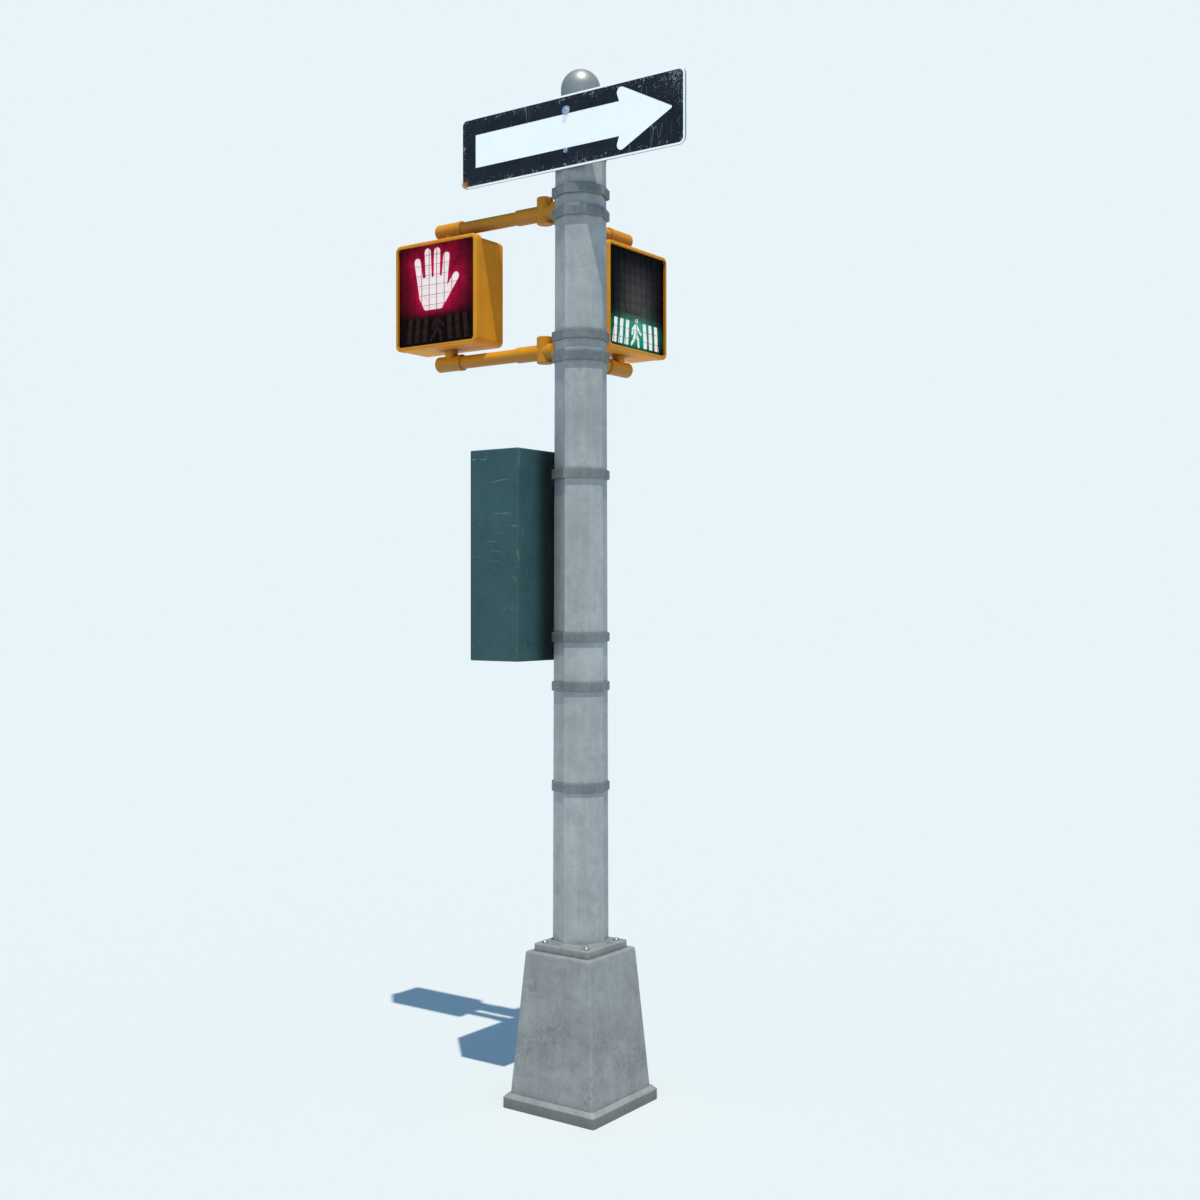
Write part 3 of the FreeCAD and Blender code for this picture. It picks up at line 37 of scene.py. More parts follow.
# ---- node graphs ------------------------------------------------------------------------------
class Graph:
    """A material's node tree, with a short call for each kind of node."""

    def __init__(self, name):
        self.material = bpy.data.materials.new(name)
        self.material.use_nodes = True
        self.tree = self.material.node_tree
        self.tree.nodes.clear()
        self.shader = self.tree.nodes.new("ShaderNodeBsdfPrincipled")
        output = self.tree.nodes.new("ShaderNodeOutputMaterial")
        self.tree.links.new(self.shader.outputs["BSDF"], output.inputs["Surface"])
        self.coordinate = self.tree.nodes.new("ShaderNodeTexCoord").outputs["Object"]

    def put(self, socket, value):
        """Link a socket to a socket, or set it to a value."""
        if isinstance(value, bpy.types.NodeSocket):
            self.tree.links.new(value, socket)
        elif isinstance(value, (tuple, list)) and len(value) == 3 and socket.type == "RGBA":
            socket.default_value = (*value, 1.0)
        else:
            socket.default_value = value

    def node(self, kind, output, settings=None, **inputs):
        """Add a node, set its inputs by name or by number (i0, i1, ...) and return one output."""
        made = self.tree.nodes.new(f"ShaderNode{kind}")
        for key, value in (settings or {}).items():
            setattr(made, key, value)
        for key, value in inputs.items():
            numbered = key[0] == "i" and key[1:].isdigit()
            self.put(made.inputs[int(key[1:]) if numbered else key.replace("_", " ")], value)
        return made.outputs[output]

    def mapped(self, scale=(1, 1, 1), rotation=(0, 0, 0), offset=(0, 0, 0), vector=None):
        """A vector, or the piece's own position, stretched, turned and shifted."""
        return self.node("Mapping", 0, Vector=vector or self.coordinate, Scale=scale, Rotation=rotation,
                         Location=offset)

    def part(self, axis, vector=None):
        """One coordinate of a vector, or of the piece's own position."""
        return self.node("SeparateXYZ", axis, Vector=vector or self.coordinate)

    def facing(self, axis):
        """One coordinate of the direction in which a face looks."""
        return self.part(axis, self.node("NewGeometry", "Normal"))

    def noise(self, scale, detail, roughness=0.55, vector=None, distortion=0.0):
        return self.node("TexNoise", 0, Vector=vector or self.coordinate, Scale=scale, Detail=detail,
                         Roughness=roughness, Distortion=distortion)

    def cells(self, scale, vector=None):
        """Distance to the nearest border in a pattern of cells."""
        return self.node("TexVoronoi", "Distance", {"feature": "DISTANCE_TO_EDGE"},
                         Vector=vector or self.coordinate, Scale=scale)

    def math(self, operation, a, b=0.0, clamp=False):
        return self.node("Math", 0, {"operation": operation, "use_clamp": clamp}, i0=a, i1=b)

    def plus(self, a, b):
        return self.math("ADD", a, b)

    def minus(self, a, b):
        return self.math("SUBTRACT", a, b)

    def times(self, a, b):
        return self.math("MULTIPLY", a, b)

    def inverse(self, value):
        """1 where the value is 0, and 0 where it is 1."""
        return self.minus(1.0, value)

    def larger(self, a, b):
        return self.math("MAXIMUM", a, b)

    def size(self, value):
        return self.math("ABSOLUTE", value)

    def vector(self, operation, a, b=(0, 0, 0), output=0, **more):
        return self.node("VectorMath", output, {"operation": operation}, i0=a, i1=b, **more)

    def step(self, value, low, high, smooth=True):
        """0 below low, 1 above high, with a soft passage."""
        kind = "SMOOTHSTEP" if smooth else "LINEAR"
        return self.node("MapRange", 0, {"interpolation_type": kind, "clamp": True}, i0=value, i1=low, i2=high,
                         i3=0.0, i4=1.0)

    def span(self, value, low, high, out_low, out_high):
        """out_low below low, out_high above high, and a straight passage between."""
        return self.node("MapRange", 0, {"clamp": True}, i0=value, i1=low, i2=high, i3=out_low, i4=out_high)

    def mix(self, factor, a, b):
        """Mix two colours: a where the factor is 0, b where it is 1."""
        return self.node("Mix", 2, {"data_type": "RGBA"}, i0=factor, i6=a, i7=b)

    def cover(self, colour, tint, mask, strength):
        """Lay a tint over a colour where the mask is 1, as strongly as given."""
        return self.mix(self.times(mask, strength), colour, tint)

    def bump(self, height, strength, distance, normal=None):
        inputs = {"Height": height, "Strength": strength, "Distance": distance}
        if normal is not None:
            inputs["Normal"] = normal
        return self.node("Bump", 0, **inputs)

    def rounded(self, radius):
        """Normals of edges softened over a small radius."""
        return self.node("Bevel", 0, {"samples": 4}, Radius=radius)

    def edges(self, radius):
        """1 along the piece's edges, 0 on its faces."""
        flat = self.node("NewGeometry", "Normal")
        cosine = self.vector("DOT_PRODUCT", self.rounded(radius), flat, output="Value")
        return self.step(self.inverse(cosine), 0.02, 0.25)

    def occlusion_shade(self, distance, low, high):
        """1 in joints and recesses up to a distance deep, 0 on open faces: an ambient occlusion mask for
        painted shade.
        """
        openness = self.node("AmbientOcclusion", "AO", {"samples": 6}, Distance=distance)
        return self.inverse(self.step(openness, low, high))

    def finish(self, colour, roughness, metallic=0.0, normal=None, **more):
        """Fill the shader's sockets, the last ones by name, and return the material."""
        self.put(self.shader.inputs["Base Color"], colour)
        self.put(self.shader.inputs["Roughness"], roughness)
        self.put(self.shader.inputs["Metallic"], metallic)
        if normal is not None:
            self.put(self.shader.inputs["Normal"], normal)
        for key, value in more.items():
            self.put(self.shader.inputs[key.replace("_", " ")], value)
        return self.material


def scaled(colour, factor):
    return tuple(factor * channel for channel in colour)


# ---- materials --------------------------------------------------------------------------------
def galvanised(name, dark, light, streaks, stain, base_stain=0.0, edge_wear=0.45, roughness=(0.5, 0.7),
               specular=0.3, metallic=0.0):
    """Weathered grey coating: cloudy mottling, fine grain, rain streaks, worn edges and painted shade in
    joints.
    """
    g = Graph(name)
    clouds = g.noise(5.5, detail=6.0, roughness=0.62)
    patches = g.noise(26.0, detail=5.0, roughness=0.7, distortion=0.6)
    grain = g.noise(260.0, detail=3.0, roughness=0.6)
    rain = g.noise(1.0, detail=5.0, roughness=0.65, vector=g.mapped(scale=(46.0, 46.0, 1.9)))
    tone = g.plus(g.times(clouds, 0.55), g.times(patches, 0.45))
    tone = g.plus(tone, g.times(g.minus(rain, 0.5), streaks))
    tone = g.plus(tone, g.times(g.minus(grain, 0.5), 0.25))
    colour = g.mix(g.step(tone, 0.32, 0.70), dark, light)
    blots = g.noise(17.0, detail=6.0, roughness=0.72, vector=g.mapped(offset=(7.3, 2.1, 0.4)), distortion=1.1)
    colour = g.cover(colour, scaled(dark, 0.55), g.step(blots, 0.60, 0.72), stain)
    if base_stain:
        colour = base_stains(g, colour, base_stain)
    # Painted shade: the colour darkened in joints and recesses that the ambient occlusion finds.
    colour = g.cover(colour, scaled(dark, 0.20), g.occlusion_shade(0.15, 0.25, 0.80), 0.70)
    colour = g.cover(colour, scaled(light, 1.3), g.edges(0.004), edge_wear)
    rough = g.span(tone, 0.2, 0.8, roughness[1], roughness[0])
    pits = g.bump(g.plus(g.times(grain, 0.5), patches), 0.22, 0.0015, g.rounded(0.0022))
    return g.finish(colour, rough, metallic, pits, Specular_IOR_Level=specular)


def base_stains(g, colour, strength):
    """Mottled dark patches low on the cast base, and its plinth darker all over."""
    plinth_top = 0.036
    height = g.part("Z")
    blotch = g.noise(9.0, detail=2.0, roughness=0.5, vector=g.mapped(offset=(2.7, 5.1, 1.9)))
    flecks = g.noise(52.0, detail=6.0, roughness=0.75, distortion=0.5)
    low_down = g.times(g.step(height, 0.03, 0.14), g.inverse(g.step(height, 0.22, 0.36)))
    patch = g.times(g.step(g.plus(blotch, g.times(low_down, 0.14)), 0.55, 0.70), g.step(flecks, 0.42, 0.66))
    colour = g.cover(colour, (0.175, 0.183, 0.180), patch, strength)
    plinth = g.inverse(g.step(height, plinth_top - 0.004, plinth_top + 0.004))
    return g.cover(colour, (0.165, 0.176, 0.178), plinth, 0.55)


def yellow_paint(name, underside_shade):
    """Sun-worn mustard enamel: brown grime in its streaks, painted shade in its joints and undersides, chipped
    edges.
    """
    g = Graph(name)
    clouds = g.noise(7.0, detail=5.0, roughness=0.6)
    fine = g.noise(180.0, detail=3.0, roughness=0.6)
    colour = g.mix(g.step(clouds, 0.3, 0.72), (0.74, 0.275, 0.010), (0.88, 0.350, 0.015))
    streaked = g.mapped(scale=(34.0, 34.0, 2.6), offset=(1.3, 0.2, 0.9))
    rain = g.noise(1.0, detail=5.0, roughness=0.7, vector=streaked)
    colour = g.cover(colour, (0.42, 0.155, 0.012), g.step(rain, 0.54, 0.78), 0.30)
    specks = g.step(g.noise(90.0, detail=4.0, roughness=0.7, distortion=0.5), 0.66, 0.72)
    colour = g.cover(colour, (0.16, 0.070, 0.014), specks, 0.5)
    # Painted shade: near-black brown in joints and recesses that the ambient occlusion finds.
    colour = g.cover(colour, (0.050, 0.022, 0.010), g.occlusion_shade(0.035, 0.32, 0.86), 0.85)
    # Painted shade on undersides: faces that look down are darkened, unevenly with the clouds.
    up = g.facing("Z")
    below = g.step(g.minus(g.times(g.minus(clouds, 0.5), 0.9), up), -0.45, 0.75)
    colour = g.cover(colour, (0.170, 0.110, 0.065), below, underside_shade)
    rim = g.edges(0.0035)
    chips = g.times(rim, g.step(g.noise(75.0, detail=4.0, roughness=0.7), 0.55, 0.62))
    colour = g.cover(colour, (0.88, 0.42, 0.03), rim, 0.25)
    colour = g.cover(colour, (0.20, 0.12, 0.06), chips, 0.6)
    rough = g.span(clouds, 0.3, 0.7, 0.46, 0.62)
    height = g.plus(g.times(clouds, 0.6), g.times(fine, 0.25))
    normal = g.bump(height, 0.16, 0.0012, g.rounded(0.002))
    return g.finish(colour, rough, 0.0, normal, Specular_IOR_Level=0.22)


def cabinet_paint(name):
    """Dark teal enamel, cloudy, with short pale scuffs, painted shade beside the pole and rubbed edges."""
    g = Graph(name)
    clouds = g.noise(4.5, detail=6.0, roughness=0.66)
    grain = g.noise(330.0, detail=2.0, roughness=0.6)
    mottle = g.noise(60.0, detail=5.0, roughness=0.7)
    colour = g.mix(g.step(clouds, 0.28, 0.75), (0.030, 0.080, 0.084), (0.050, 0.118, 0.122))
    colour = g.cover(colour, (0.058, 0.128, 0.130), g.step(mottle, 0.42, 0.70), 0.40)
    colour = g.cover(colour, (0.090, 0.175, 0.175), g.step(grain, 0.55, 0.68), 0.25)
    scuffs = cabinet_scuffs(g)
    colour = g.cover(colour, (0.24, 0.36, 0.36), scuffs, 0.6)
    # Painted shade: near black on the cabinet's back, beside the pole.
    colour = g.cover(colour, (0.006, 0.010, 0.011), shade_by_pole(g), 0.85)
    rim = g.times(g.edges(0.004), g.step(g.noise(55.0, detail=4.0, roughness=0.7), 0.38, 0.62))
    colour = g.cover(colour, (0.20, 0.30, 0.30), rim, 0.6)
    rough = g.span(mottle, 0.3, 0.7, 0.46, 0.62)
    height = g.minus(g.times(grain, 0.3), g.times(scuffs, 0.8))
    normal = g.bump(height, 0.18, 0.0008, g.rounded(0.002))
    return g.finish(colour, rough, 0.0, normal, Specular_IOR_Level=0.3)


def cabinet_scuffs(g):
    """Scuffs in patches: upright on the faces that look along X, level on the others."""
    level = rub_marks(g, (6.0, 6.0, 120.0), (0.0, 0.0, 0.0), 0.630)
    upright = rub_marks(g, (120.0, 120.0, 5.5), (2.0, 4.0, 1.0), 0.635)
    along_x = g.size(g.facing("X"))
    marks = g.larger(g.times(level, g.inverse(along_x)), g.times(upright, along_x))
    patches = g.noise(11.0, detail=3.0, roughness=0.6, vector=g.mapped(offset=(1.0, 6.0, 2.0)))
    return g.times(marks, g.step(patches, 0.50, 0.60))


def rub_marks(g, stretch, offset, threshold):
    """Short scuffs drawn out along the axis with the smallest scale, each at a slight slant."""
    wander = g.node("TexNoise", "Color", Vector=g.coordinate, Scale=4.0, Detail=1.0)
    slanted = g.vector("ADD", g.coordinate, g.vector("SCALE", wander, Scale=0.05))
    drawn = g.noise(1.0, detail=3.0, roughness=0.62, vector=g.mapped(stretch, offset=offset, vector=slanted))
    return g.step(drawn, threshold, threshold + 0.045)


def shade_by_pole(g):
    """Painted shade on the cabinet's back, darkest beside the pole, which shuts the light out there."""
    _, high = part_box("cabinet_shell")
    beside = g.inverse(g.step(g.size(g.part("Y")), 0.060, 0.150))
    back = g.step(g.part("X"), high.x - 0.030, high.x - 0.006)
    return g.times(beside, back)


def bright_metal(name, colour, roughness, brushed, dull):
    """Bare or plated metal with hazy oxidation and fine brushing."""
    g = Graph(name)
    haze = g.noise(24.0, detail=5.0, roughness=0.65)
    lines = g.noise(1.0, detail=3.0, roughness=0.6, vector=g.mapped(scale=(700.0, 700.0, 18.0)))
    tone = g.cover(colour, scaled(colour, 0.62), g.step(haze, 0.42, 0.75), dull * 2.0)
    spots = g.step(g.noise(130.0, detail=4.0, roughness=0.7), 0.64, 0.72)
    tone = g.cover(tone, (0.16, 0.13, 0.11), spots, dull)
    rough = g.plus(g.span(haze, 0.3, 0.7, roughness * 0.8, roughness * 1.25), g.times(lines, 0.08))
    height = g.plus(g.times(haze, 0.6), g.times(lines, brushed))
    return g.finish(tone, rough, 0.9, g.bump(height, 0.12, 0.0006, g.rounded(0.0012)))


def sign_white(name):
    """Retroreflective sheeting: cool white, finely celled and faintly dirty, with a faint painted glow
    (emission) that brightens it."""
    g = Graph(name)
    cells = g.cells(420.0)
    dirt = g.noise(11.0, detail=6.0, roughness=0.7)
    streak = g.noise(1.0, detail=4.0, roughness=0.7, vector=g.mapped(scale=(38.0, 5.0, 4.0)))
    colour = g.cover((0.93, 0.96, 0.95), (0.70, 0.78, 0.78), g.step(dirt, 0.5, 0.8), 0.35)
    colour = g.cover(colour, (0.45, 0.50, 0.52), g.step(streak, 0.56, 0.75), 0.16)
    specks = g.step(g.noise(150.0, detail=4.0, roughness=0.75, distortion=0.4), 0.68, 0.73)
    colour = g.cover(colour, (0.20, 0.21, 0.22), specks, 0.5)
    colour = g.mix(rust_corner(g), colour, (0.56, 0.27, 0.12))
    normal = g.bump(g.step(cells, 0.0, 0.12), 0.05, 0.0002)
    # Painted light: the sheeting's colour also glows faintly (emission).
    return g.finish(colour, 0.42, 0.0, normal, Specular_IOR_Level=0.4, Emission_Color=colour,
                    Emission_Strength=0.24)


def rust_corner(g):
    """Rust that creeps in from the sign's lower left corner."""
    low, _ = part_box("sign_blank")
    corner = (low.x + 0.010, low.y, low.z + 0.008)
    distance = g.vector("DISTANCE", g.coordinate, corner, output="Value")
    ragged = g.plus(distance, g.times(g.minus(g.noise(90.0, detail=5.0, roughness=0.75), 0.5), 0.06))
    return g.inverse(g.step(ragged, 0.010, 0.030))


def sign_film(name):
    """Dark navy film, dusty and scuffed: long scratches, pale chips and the rusty corner."""
    g = Graph(name)
    clouds = g.noise(9.0, detail=6.0, roughness=0.7)
    colour = g.mix(g.step(clouds, 0.3, 0.75), (0.0050, 0.0072, 0.0125), (0.011, 0.0150, 0.0235))
    dust = g.step(g.noise(320.0, detail=3.0, roughness=0.7), 0.60, 0.70)
    colour = g.cover(colour, (0.075, 0.085, 0.105), dust, 0.35)
    lines = scratch_lines(g, 15.0, (0.5, 1.1, 0.2), 0.46)
    more = scratch_lines(g, 24.0, (0.1, -0.8, 0.9), 0.42)
    chips = film_chips(g)
    wear = g.larger(g.times(g.larger(lines, more), 0.55), chips)
    colour = g.cover(colour, (0.56, 0.62, 0.66), wear, 0.85)
    colour = g.mix(rust_corner(g), colour, (0.50, 0.22, 0.09))
    rough = g.span(clouds, 0.3, 0.7, 0.38, 0.58)
    return g.finish(colour, rough, 0.0, g.bump(g.times(wear, -1.0), 0.2, 0.0004), Specular_IOR_Level=0.4)


def scratch_lines(g, scale, turn, coverage):
    """Sparse long thin lines: the cell borders of a stretched pattern, kept only in patches."""
    thickness = 0.006
    stretched = g.mapped(scale=(1.0, 1.0, 0.12), rotation=turn)
    wobble = g.noise(6.0, detail=1.0)
    bend = g.vector("SCALE", g.node("CombineXYZ", 0, i0=wobble, i1=wobble), Scale=0.02)
    border = g.cells(scale, g.vector("ADD", stretched, bend))
    line = g.inverse(g.step(border, thickness * 0.4, thickness))
    patches = g.noise(scale * 0.45, detail=2.0, vector=g.mapped(offset=(3.1, 1.7, 4.4)))
    return g.times(line, g.step(patches, 1.0 - coverage, 1.0 - coverage + 0.08))


def film_chips(g):
    """Chips, denser along the film's border, and a ragged rubbed patch at its upper right corner."""
    border_width = 0.040
    low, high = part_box("sign_dark_film")
    centre, half = (low + high) / 2, (high - low) / 2
    across = g.size(g.minus(g.part("X"), centre.x))
    up = g.size(g.minus(g.part("Z"), centre.z))
    border = g.step(g.larger(g.minus(across, half.x), g.minus(up, half.z)), -border_width, 0.0)
    flakes = g.noise(85.0, detail=6.0, roughness=0.78, distortion=0.9)
    chips = g.step(g.plus(flakes, g.times(border, 0.085)), 0.660, 0.685)
    corner = g.vector("DISTANCE", g.coordinate, (high.x, low.y, high.z), output="Value")
    frayed = g.noise(120.0, detail=5.0, roughness=0.8, distortion=1.2)
    rubbed = g.step(g.minus(frayed, g.times(corner, 0.9)), 0.515, 0.555)
    return g.larger(chips, rubbed)


FINE_GRAIN = 240.0


def plain_grain(name, colour, roughness, spread=0.3, bump=0.2):
    """Moulded plastic, rubber or sheet finish with a fine grain and slight tone changes."""
    g = Graph(name)
    tone = g.noise(FINE_GRAIN * 0.08, detail=5.0, roughness=0.65)
    grain = g.noise(FINE_GRAIN, detail=3.0, roughness=0.6)
    shade = g.mix(g.step(tone, 0.3, 0.7), scaled(colour, 1.0 - spread), colour)
    rough = g.span(grain, 0.3, 0.7, roughness - 0.07, roughness + 0.07)
    return g.finish(shade, rough, 0.0, g.bump(grain, bump, 0.0005, g.rounded(0.001)))


# ---- signal faces -----------------------------------------------------------------------------
# Places on a face are in metres, across and up from the middle of the head's lower edge. A bar with round
# ends is given by its two end points and its radius: four fingers, the thumb and the palm of the raised
# hand, and one bar along the middle of the lower symbols.
HAND_BARS = (((-0.077, 0.220), (-0.098, 0.330), 0.015), ((-0.040, 0.220), (-0.047, 0.362), 0.015),
             ((-0.003, 0.220), (0.0, 0.360), 0.015), ((0.033, 0.218), (0.046, 0.338), 0.015),
             ((0.028, 0.176), (0.092, 0.258), 0.015), ((-0.020, 0.200), (-0.020, 0.238), 0.055))
LOWER_BARS = (((-0.150, 0.077), (0.150, 0.077), 0.040),)
LOWER_SYMBOL_TOP = 0.138

# The light on each side: its colour, the bars that it spreads from and how far it reaches.
GLOW = {"left": ((0.62, 0.003, 0.060), HAND_BARS, 0.034), "right": ((0.0, 0.34, 0.21), LOWER_BARS, 0.013)}


def face_place(g, side):
    """Position across and up a signal face."""
    middle, bottom = FACE_ORIGINS[side]
    across = g.minus(g.part("X" if side == "left" else "Y"), middle)
    return g.node("CombineXYZ", 0, i0=across, i1=g.minus(g.part("Z"), bottom))


def distance_to_bars(g, place, bars):
    """Distance from a place on a signal face to the nearest of some round-ended bars."""
    nearest = None
    for (x0, z0), (x1, z1), radius in bars:
        along = Vector((x1 - x0, z1 - z0, 0.0))
        offset = g.vector("SUBTRACT", place, (x0, z0, 0.0))
        share = g.math("MULTIPLY", g.vector("DOT_PRODUCT", offset, tuple(along), output="Value"),
                       1.0 / along.length_squared, clamp=True)
        foot = g.vector("SCALE", tuple(along), Scale=share)
        gap = g.minus(g.vector("DISTANCE", offset, foot, output="Value"), radius)
        nearest = gap if nearest is None else g.math("MINIMUM", nearest, gap)
    return nearest


def face_glow(g, side, place):
    """Light that spreads inside a signal face around the symbol that is on."""
    across, height = (g.part(axis, place) for axis in "XY")
    tint, bars, reach = GLOW[side]
    gap = g.larger(distance_to_bars(g, place, bars), 0.0)
    halo = g.math("POWER", math.e, g.times(gap, -1.0 / reach))
    sideways = g.inverse(g.step(g.size(across), 0.04, 0.195))
    uneven = g.span(g.noise(19.0, detail=4.0, roughness=0.62), 0.25, 0.75, 0.40, 1.25)
    if side == "left":
        below_top = g.span(height, 0.330, 0.392, 1.0, 0.42)
        spill = g.plus(g.times(halo, 0.62), g.times(sideways, 0.26))
        above_lower_symbols = g.step(height, 0.105, 0.165)
        lit = g.times(g.plus(g.times(spill, below_top), 0.035), above_lower_symbols)
    else:
        lit = g.times(halo, g.plus(g.times(sideways, 0.80), 0.12))
    return g.mix(g.math("MULTIPLY", lit, uneven, clamp=True), (0, 0, 0), tint)


def smoked_tone_and_sheen(g, side, place):
    """Unlit tone of a signal face: near black, with a painted grey sheen in the middle of the right one."""
    if side == "left":
        return g.mix(g.noise(7.0, detail=3.0, roughness=0.6), (0.004, 0.0012, 0.0012), (0.010, 0.0035, 0.0030))
    across, height = (g.part(axis, place) for axis in "XY")
    off_centre = g.size(g.minus(across, 0.005))
    above_foot, below_top = g.step(height, 0.02, 0.17), g.inverse(g.step(height, 0.19, 0.39))
    # Painted reflection: a soft grey sheen over the middle of the right face.
    sheen = g.times(g.times(above_foot, below_top), g.inverse(g.step(off_centre, 0, 0.165)))
    return g.mix(sheen, (0.0065, 0.0040, 0.0036), (0.120, 0.104, 0.092))


def lens_face(side):
    """Smoked lens, softly glossy, lit from inside around the symbol that is on."""
    g = Graph(f"{side}_lens_face")
    place = face_place(g, side)
    glow = face_glow(g, side, place)
    return g.finish(smoked_tone_and_sheen(g, side, place), 0.34, 0.0, Specular_IOR_Level=0.08, Emission_Color=glow,
                    Emission_Strength=1.0)


def grille_face(side):
    """Black plastic screen that picks up the light of the symbol behind it."""
    g = Graph(f"{side}_grille_face")
    place = face_place(g, side)
    grain = g.noise(FINE_GRAIN, detail=3.0, roughness=0.6)
    dull = g.times(g.step(grain, 0.3, 0.7), 0.35)
    base = g.mix(dull, smoked_tone_and_sheen(g, side, place), (0.003, 0.002, 0.002))
    glow = face_glow(g, side, place)
    normal = g.bump(grain, 0.2, 0.0005, g.rounded(0.001))
    rough = g.span(grain, 0.3, 0.7, 0.46, 0.60)
    return g.finish(base, rough, 0.0, normal, Specular_IOR_Level=0.15, Emission_Color=glow,
                    Emission_Strength=0.55)


def symbol_face(side):
    """The symbols of both messages: the lit one near white in tinted patches, the unlit one dark."""
    g = Graph(f"{side}_symbol_face")
    place = face_place(g, side)
    upper = g.step(g.part("Y", place), LOWER_SYMBOL_TOP, LOWER_SYMBOL_TOP + 0.004, smooth=False)
    lit = upper if side == "left" else g.inverse(upper)
    patches = g.step(g.noise(34.0, detail=4.0, roughness=0.6), 0.52, 0.80)
    if side == "left":
        glow = g.mix(patches, (0.90, 0.84, 0.85), (1.0, 0.46, 0.58))
        dark = (0.034, 0.012, 0.006)
    else:
        glow = g.mix(patches, (0.93, 0.91, 0.92), (0.70, 1.0, 0.90))
        dark = g.mix(0.25, smoked_tone_and_sheen(g, side, place), (0.022, 0.006, 0.007))
    strength = g.times(lit, 0.72)
    shade = g.mix(lit, dark, (0.30, 0.26, 0.27))
    return g.finish(shade, 0.5, 0.0, Specular_IOR_Level=0.15, Emission_Color=glow, Emission_Strength=strength)


# ---- put a material on every node -------------------------------------------------------------
MATERIALS = {
    "cast_base": galvanised("cast_base", (0.270, 0.273, 0.270), (0.405, 0.407, 0.403), 0.20, 0.15,
                            base_stain=0.60, edge_wear=0.12),
    "pole_grey": galvanised("pole_grey", (0.345, 0.358, 0.360), (0.500, 0.512, 0.508), 0.30, 0.18),
    "band_grey": galvanised("band_grey", (0.150, 0.163, 0.170), (0.260, 0.276, 0.283), 0.3, 0.3,
                            edge_wear=0.7),
    "finial": galvanised("finial", (0.380, 0.380, 0.370), (0.470, 0.470, 0.460), 0.15, 0.15,
                         roughness=(0.44, 0.50), specular=1.0, metallic=0.5),
    # Painted shade: the cabinet brackets are near black to sink into the painted shade beside the pole.
    "bracket_in_shade": galvanised("bracket_in_shade", (0.030, 0.032, 0.033), (0.056, 0.059, 0.061), 0.3, 0.4,
                               edge_wear=0.1),
    # The number given to yellow_paint is the strength of its painted underside shade: weak on the heads,
    # strong on the arms.
    "yellow_head": yellow_paint("yellow_head", 0.10),
    "yellow_arm": yellow_paint("yellow_arm", 0.55),
    "cabinet": cabinet_paint("cabinet"),
    "zinc": bright_metal("zinc", (0.50, 0.52, 0.55), 0.36, 0.1, 0.3),
    "blue_zinc": bright_metal("blue_zinc", (0.66, 0.76, 0.88), 0.40, 0.1, 0.12),
    "button_metal": bright_metal("button_metal", (0.62, 0.62, 0.62), 0.28, 0.6, 0.15),
    "aluminium": bright_metal("aluminium", (0.62, 0.64, 0.66), 0.45, 0.5, 0.2),
    "mirror": bright_metal("mirror", (0.80, 0.80, 0.80), 0.16, 0.1, 0.08),
    "sign_white": sign_white("sign_white"),
    "sign_film": sign_film("sign_film"),
    "rubber": plain_grain("rubber", (0.016, 0.016, 0.017), 0.78),
    "lamp": plain_grain("lamp", (0.72, 0.70, 0.64), 0.30, spread=0.12, bump=0.05),
    "panel": plain_grain("panel", (0.58, 0.58, 0.55), 0.45, spread=0.12, bump=0.1),
    "module": plain_grain("module", (0.17, 0.18, 0.19), 0.48, spread=0.25),
    "switch": plain_grain("switch", (0.020, 0.020, 0.022), 0.42),
    "station": plain_grain("station", (0.030, 0.034, 0.038), 0.45),
}
for side in ("left", "right"):
    MATERIALS[f"{side}_lens_face"] = lens_face(side)
    MATERIALS[f"{side}_grille_face"] = grille_face(side)
    MATERIALS[f"{side}_symbol_face"] = symbol_face(side)

FINISHES = {
    "cast_base": ["base_casting", "handhole_cover", "pole_flange"],
    "pole_grey": ["pole_shaft"],
    "band_grey": ["hub_bands", "cabinet_bands", "button_bands", "sign_brackets", "button_saddles"],
    "bracket_in_shade": ["cabinet_brackets"],
    "yellow_arm": ["lower_hub", "upper_hub", "arm_sleeves", "arm_pipes", "lock_collars", "arm_elbows",
                   "left_nipples", "right_nipples"],
    "yellow_head": ["left_housing", "right_housing", "left_door", "right_door", "left_latch_screw",
                    "right_latch_screw"],
    "cabinet": ["cabinet_shell", "cabinet_door", "button_plate"],
    "finial": ["finial_cap"],
    "zinc": ["cap_screws", "flange_bolts", "band_bolts", "cabinet_bolts", "cabinet_hinge_pins",
             "cabinet_latch", "button_screws", "button_spring", "left_hinge_pins", "right_hinge_pins"],
    "blue_zinc": ["sign_bolts"],
    "button_metal": ["button_plunger"],
    "aluminium": ["sign_blank"],
    "mirror": ["left_reflector", "right_reflector"],
    "sign_white": ["sign_white_face"],
    "sign_film": ["sign_dark_film"],
    "rubber": ["left_lens_gasket", "right_lens_gasket", "cabinet_door_gasket"],
    "lamp": ["left_lamps", "right_lamps"],
    "panel": ["cabinet_backplate"],
    "module": ["signal_controller"],
    "switch": ["button_switch"],
    "station": ["button_housing"],
    "left_lens_face": ["left_lens"],
    "right_lens_face": ["right_lens"],
    "left_grille_face": ["left_grille"],
    "right_grille_face": ["right_grille"],
    "left_symbol_face": ["left_symbols"],
    "right_symbol_face": ["right_symbols"],
}
for finish, members in FINISHES.items():
    for member in members:
        slots = nodes[member].data.materials
        slots.clear()
        slots.append(MATERIALS[finish])


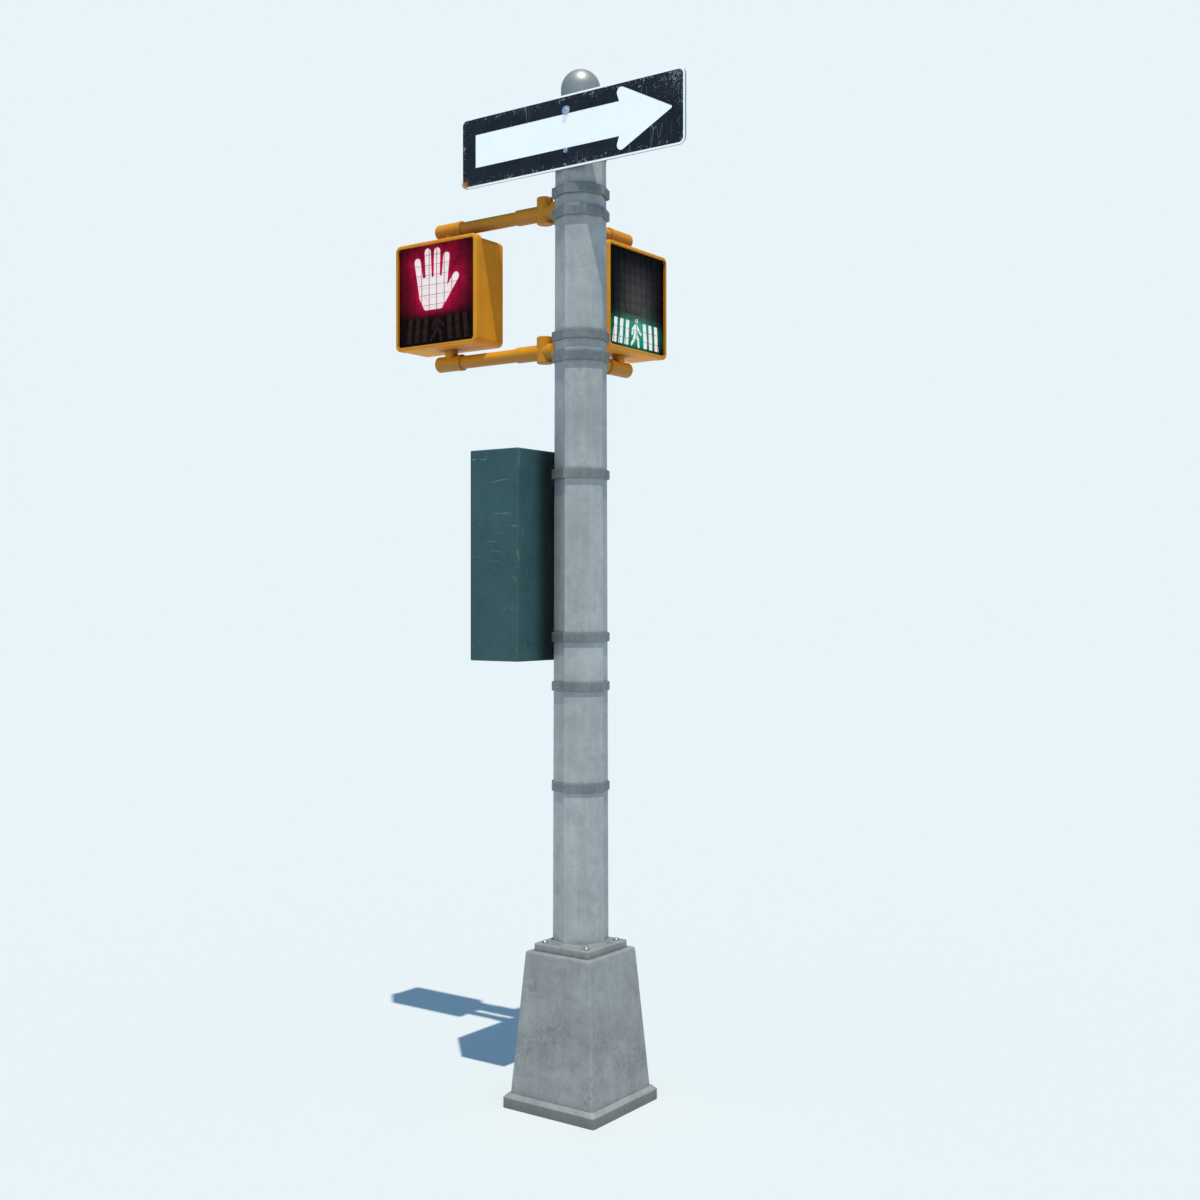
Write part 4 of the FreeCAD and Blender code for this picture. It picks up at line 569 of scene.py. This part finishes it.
# ---- floor, light and camera ------------------------------------------------------------------
BACKDROP = (0.806, 0.905, 0.947)
FLOOR_COLOUR = (0.80, 0.80, 0.80)
FLOOR_REACH = 40.0
SKYLIGHT = (0.142, 0.279, 0.440)
SUNLIGHT = (1.0, 0.985, 0.86)
SUN_STRENGTH = 2.87
SUN_WIDTH = 0.5
SUN_DIRECTION = (-0.236, 0.241, -1.0)
CAMERA_PLACE = (3.075, -4.194, 1.777)
CAMERA_TURN = 35.5
LENS_MM, SENSOR_MM = 44.13, 36.0


def make_floor():
    reach = FLOOR_REACH
    mesh = bpy.data.meshes.new("floor")
    corners = [(-reach, -reach, 0), (reach, -reach, 0), (reach, reach, 0), (-reach, reach, 0)]
    mesh.from_pydata(corners, [], [(0, 1, 2, 3)])
    floor = bpy.data.objects.new("floor", mesh)
    bpy.context.scene.collection.objects.link(floor)
    g = Graph("floor")
    g.finish(FLOOR_COLOUR, 0.95, 0.0, Specular_IOR_Level=0.0)
    mesh.materials.append(g.material)


def make_world():
    """Blue skylight on the object and the floor, and a pale backdrop for the camera."""
    world = bpy.data.worlds.new("studio")
    bpy.context.scene.world = world
    world.use_nodes = True
    tree = world.node_tree
    skylight = tree.nodes["Background"]
    skylight.inputs["Color"].default_value = (*SKYLIGHT, 1.0)
    backdrop = tree.nodes.new("ShaderNodeBackground")
    backdrop.inputs["Color"].default_value = (*BACKDROP, 1.0)
    seen = tree.nodes.new("ShaderNodeLightPath").outputs["Is Camera Ray"]
    either = tree.nodes.new("ShaderNodeMixShader")
    tree.links.new(seen, either.inputs["Fac"])
    tree.links.new(skylight.outputs["Background"], either.inputs[1])
    tree.links.new(backdrop.outputs["Background"], either.inputs[2])
    tree.links.new(either.outputs["Shader"], tree.nodes["World Output"].inputs["Surface"])


def make_sun():
    data = bpy.data.lights.new("sun", "SUN")
    data.energy = SUN_STRENGTH
    data.angle = math.radians(SUN_WIDTH)
    data.color = SUNLIGHT
    sun = bpy.data.objects.new("sun", data)
    bpy.context.scene.collection.objects.link(sun)
    sun.rotation_euler = Vector(SUN_DIRECTION).to_track_quat("-Z", "Y").to_euler()


def make_camera():
    """A level camera at about half the pole's height, turned left of the way +Y points."""
    data = bpy.data.cameras.new("camera")
    data.sensor_width = SENSOR_MM
    data.lens = LENS_MM
    camera = bpy.data.objects.new("camera", data)
    bpy.context.scene.collection.objects.link(camera)
    camera.location = CAMERA_PLACE
    camera.rotation_euler = (math.radians(90.0), 0.0, math.radians(CAMERA_TURN))
    bpy.context.scene.camera = camera


make_floor()
make_world()
make_sun()
make_camera()
bpy.context.scene.view_settings.view_transform = "Standard"
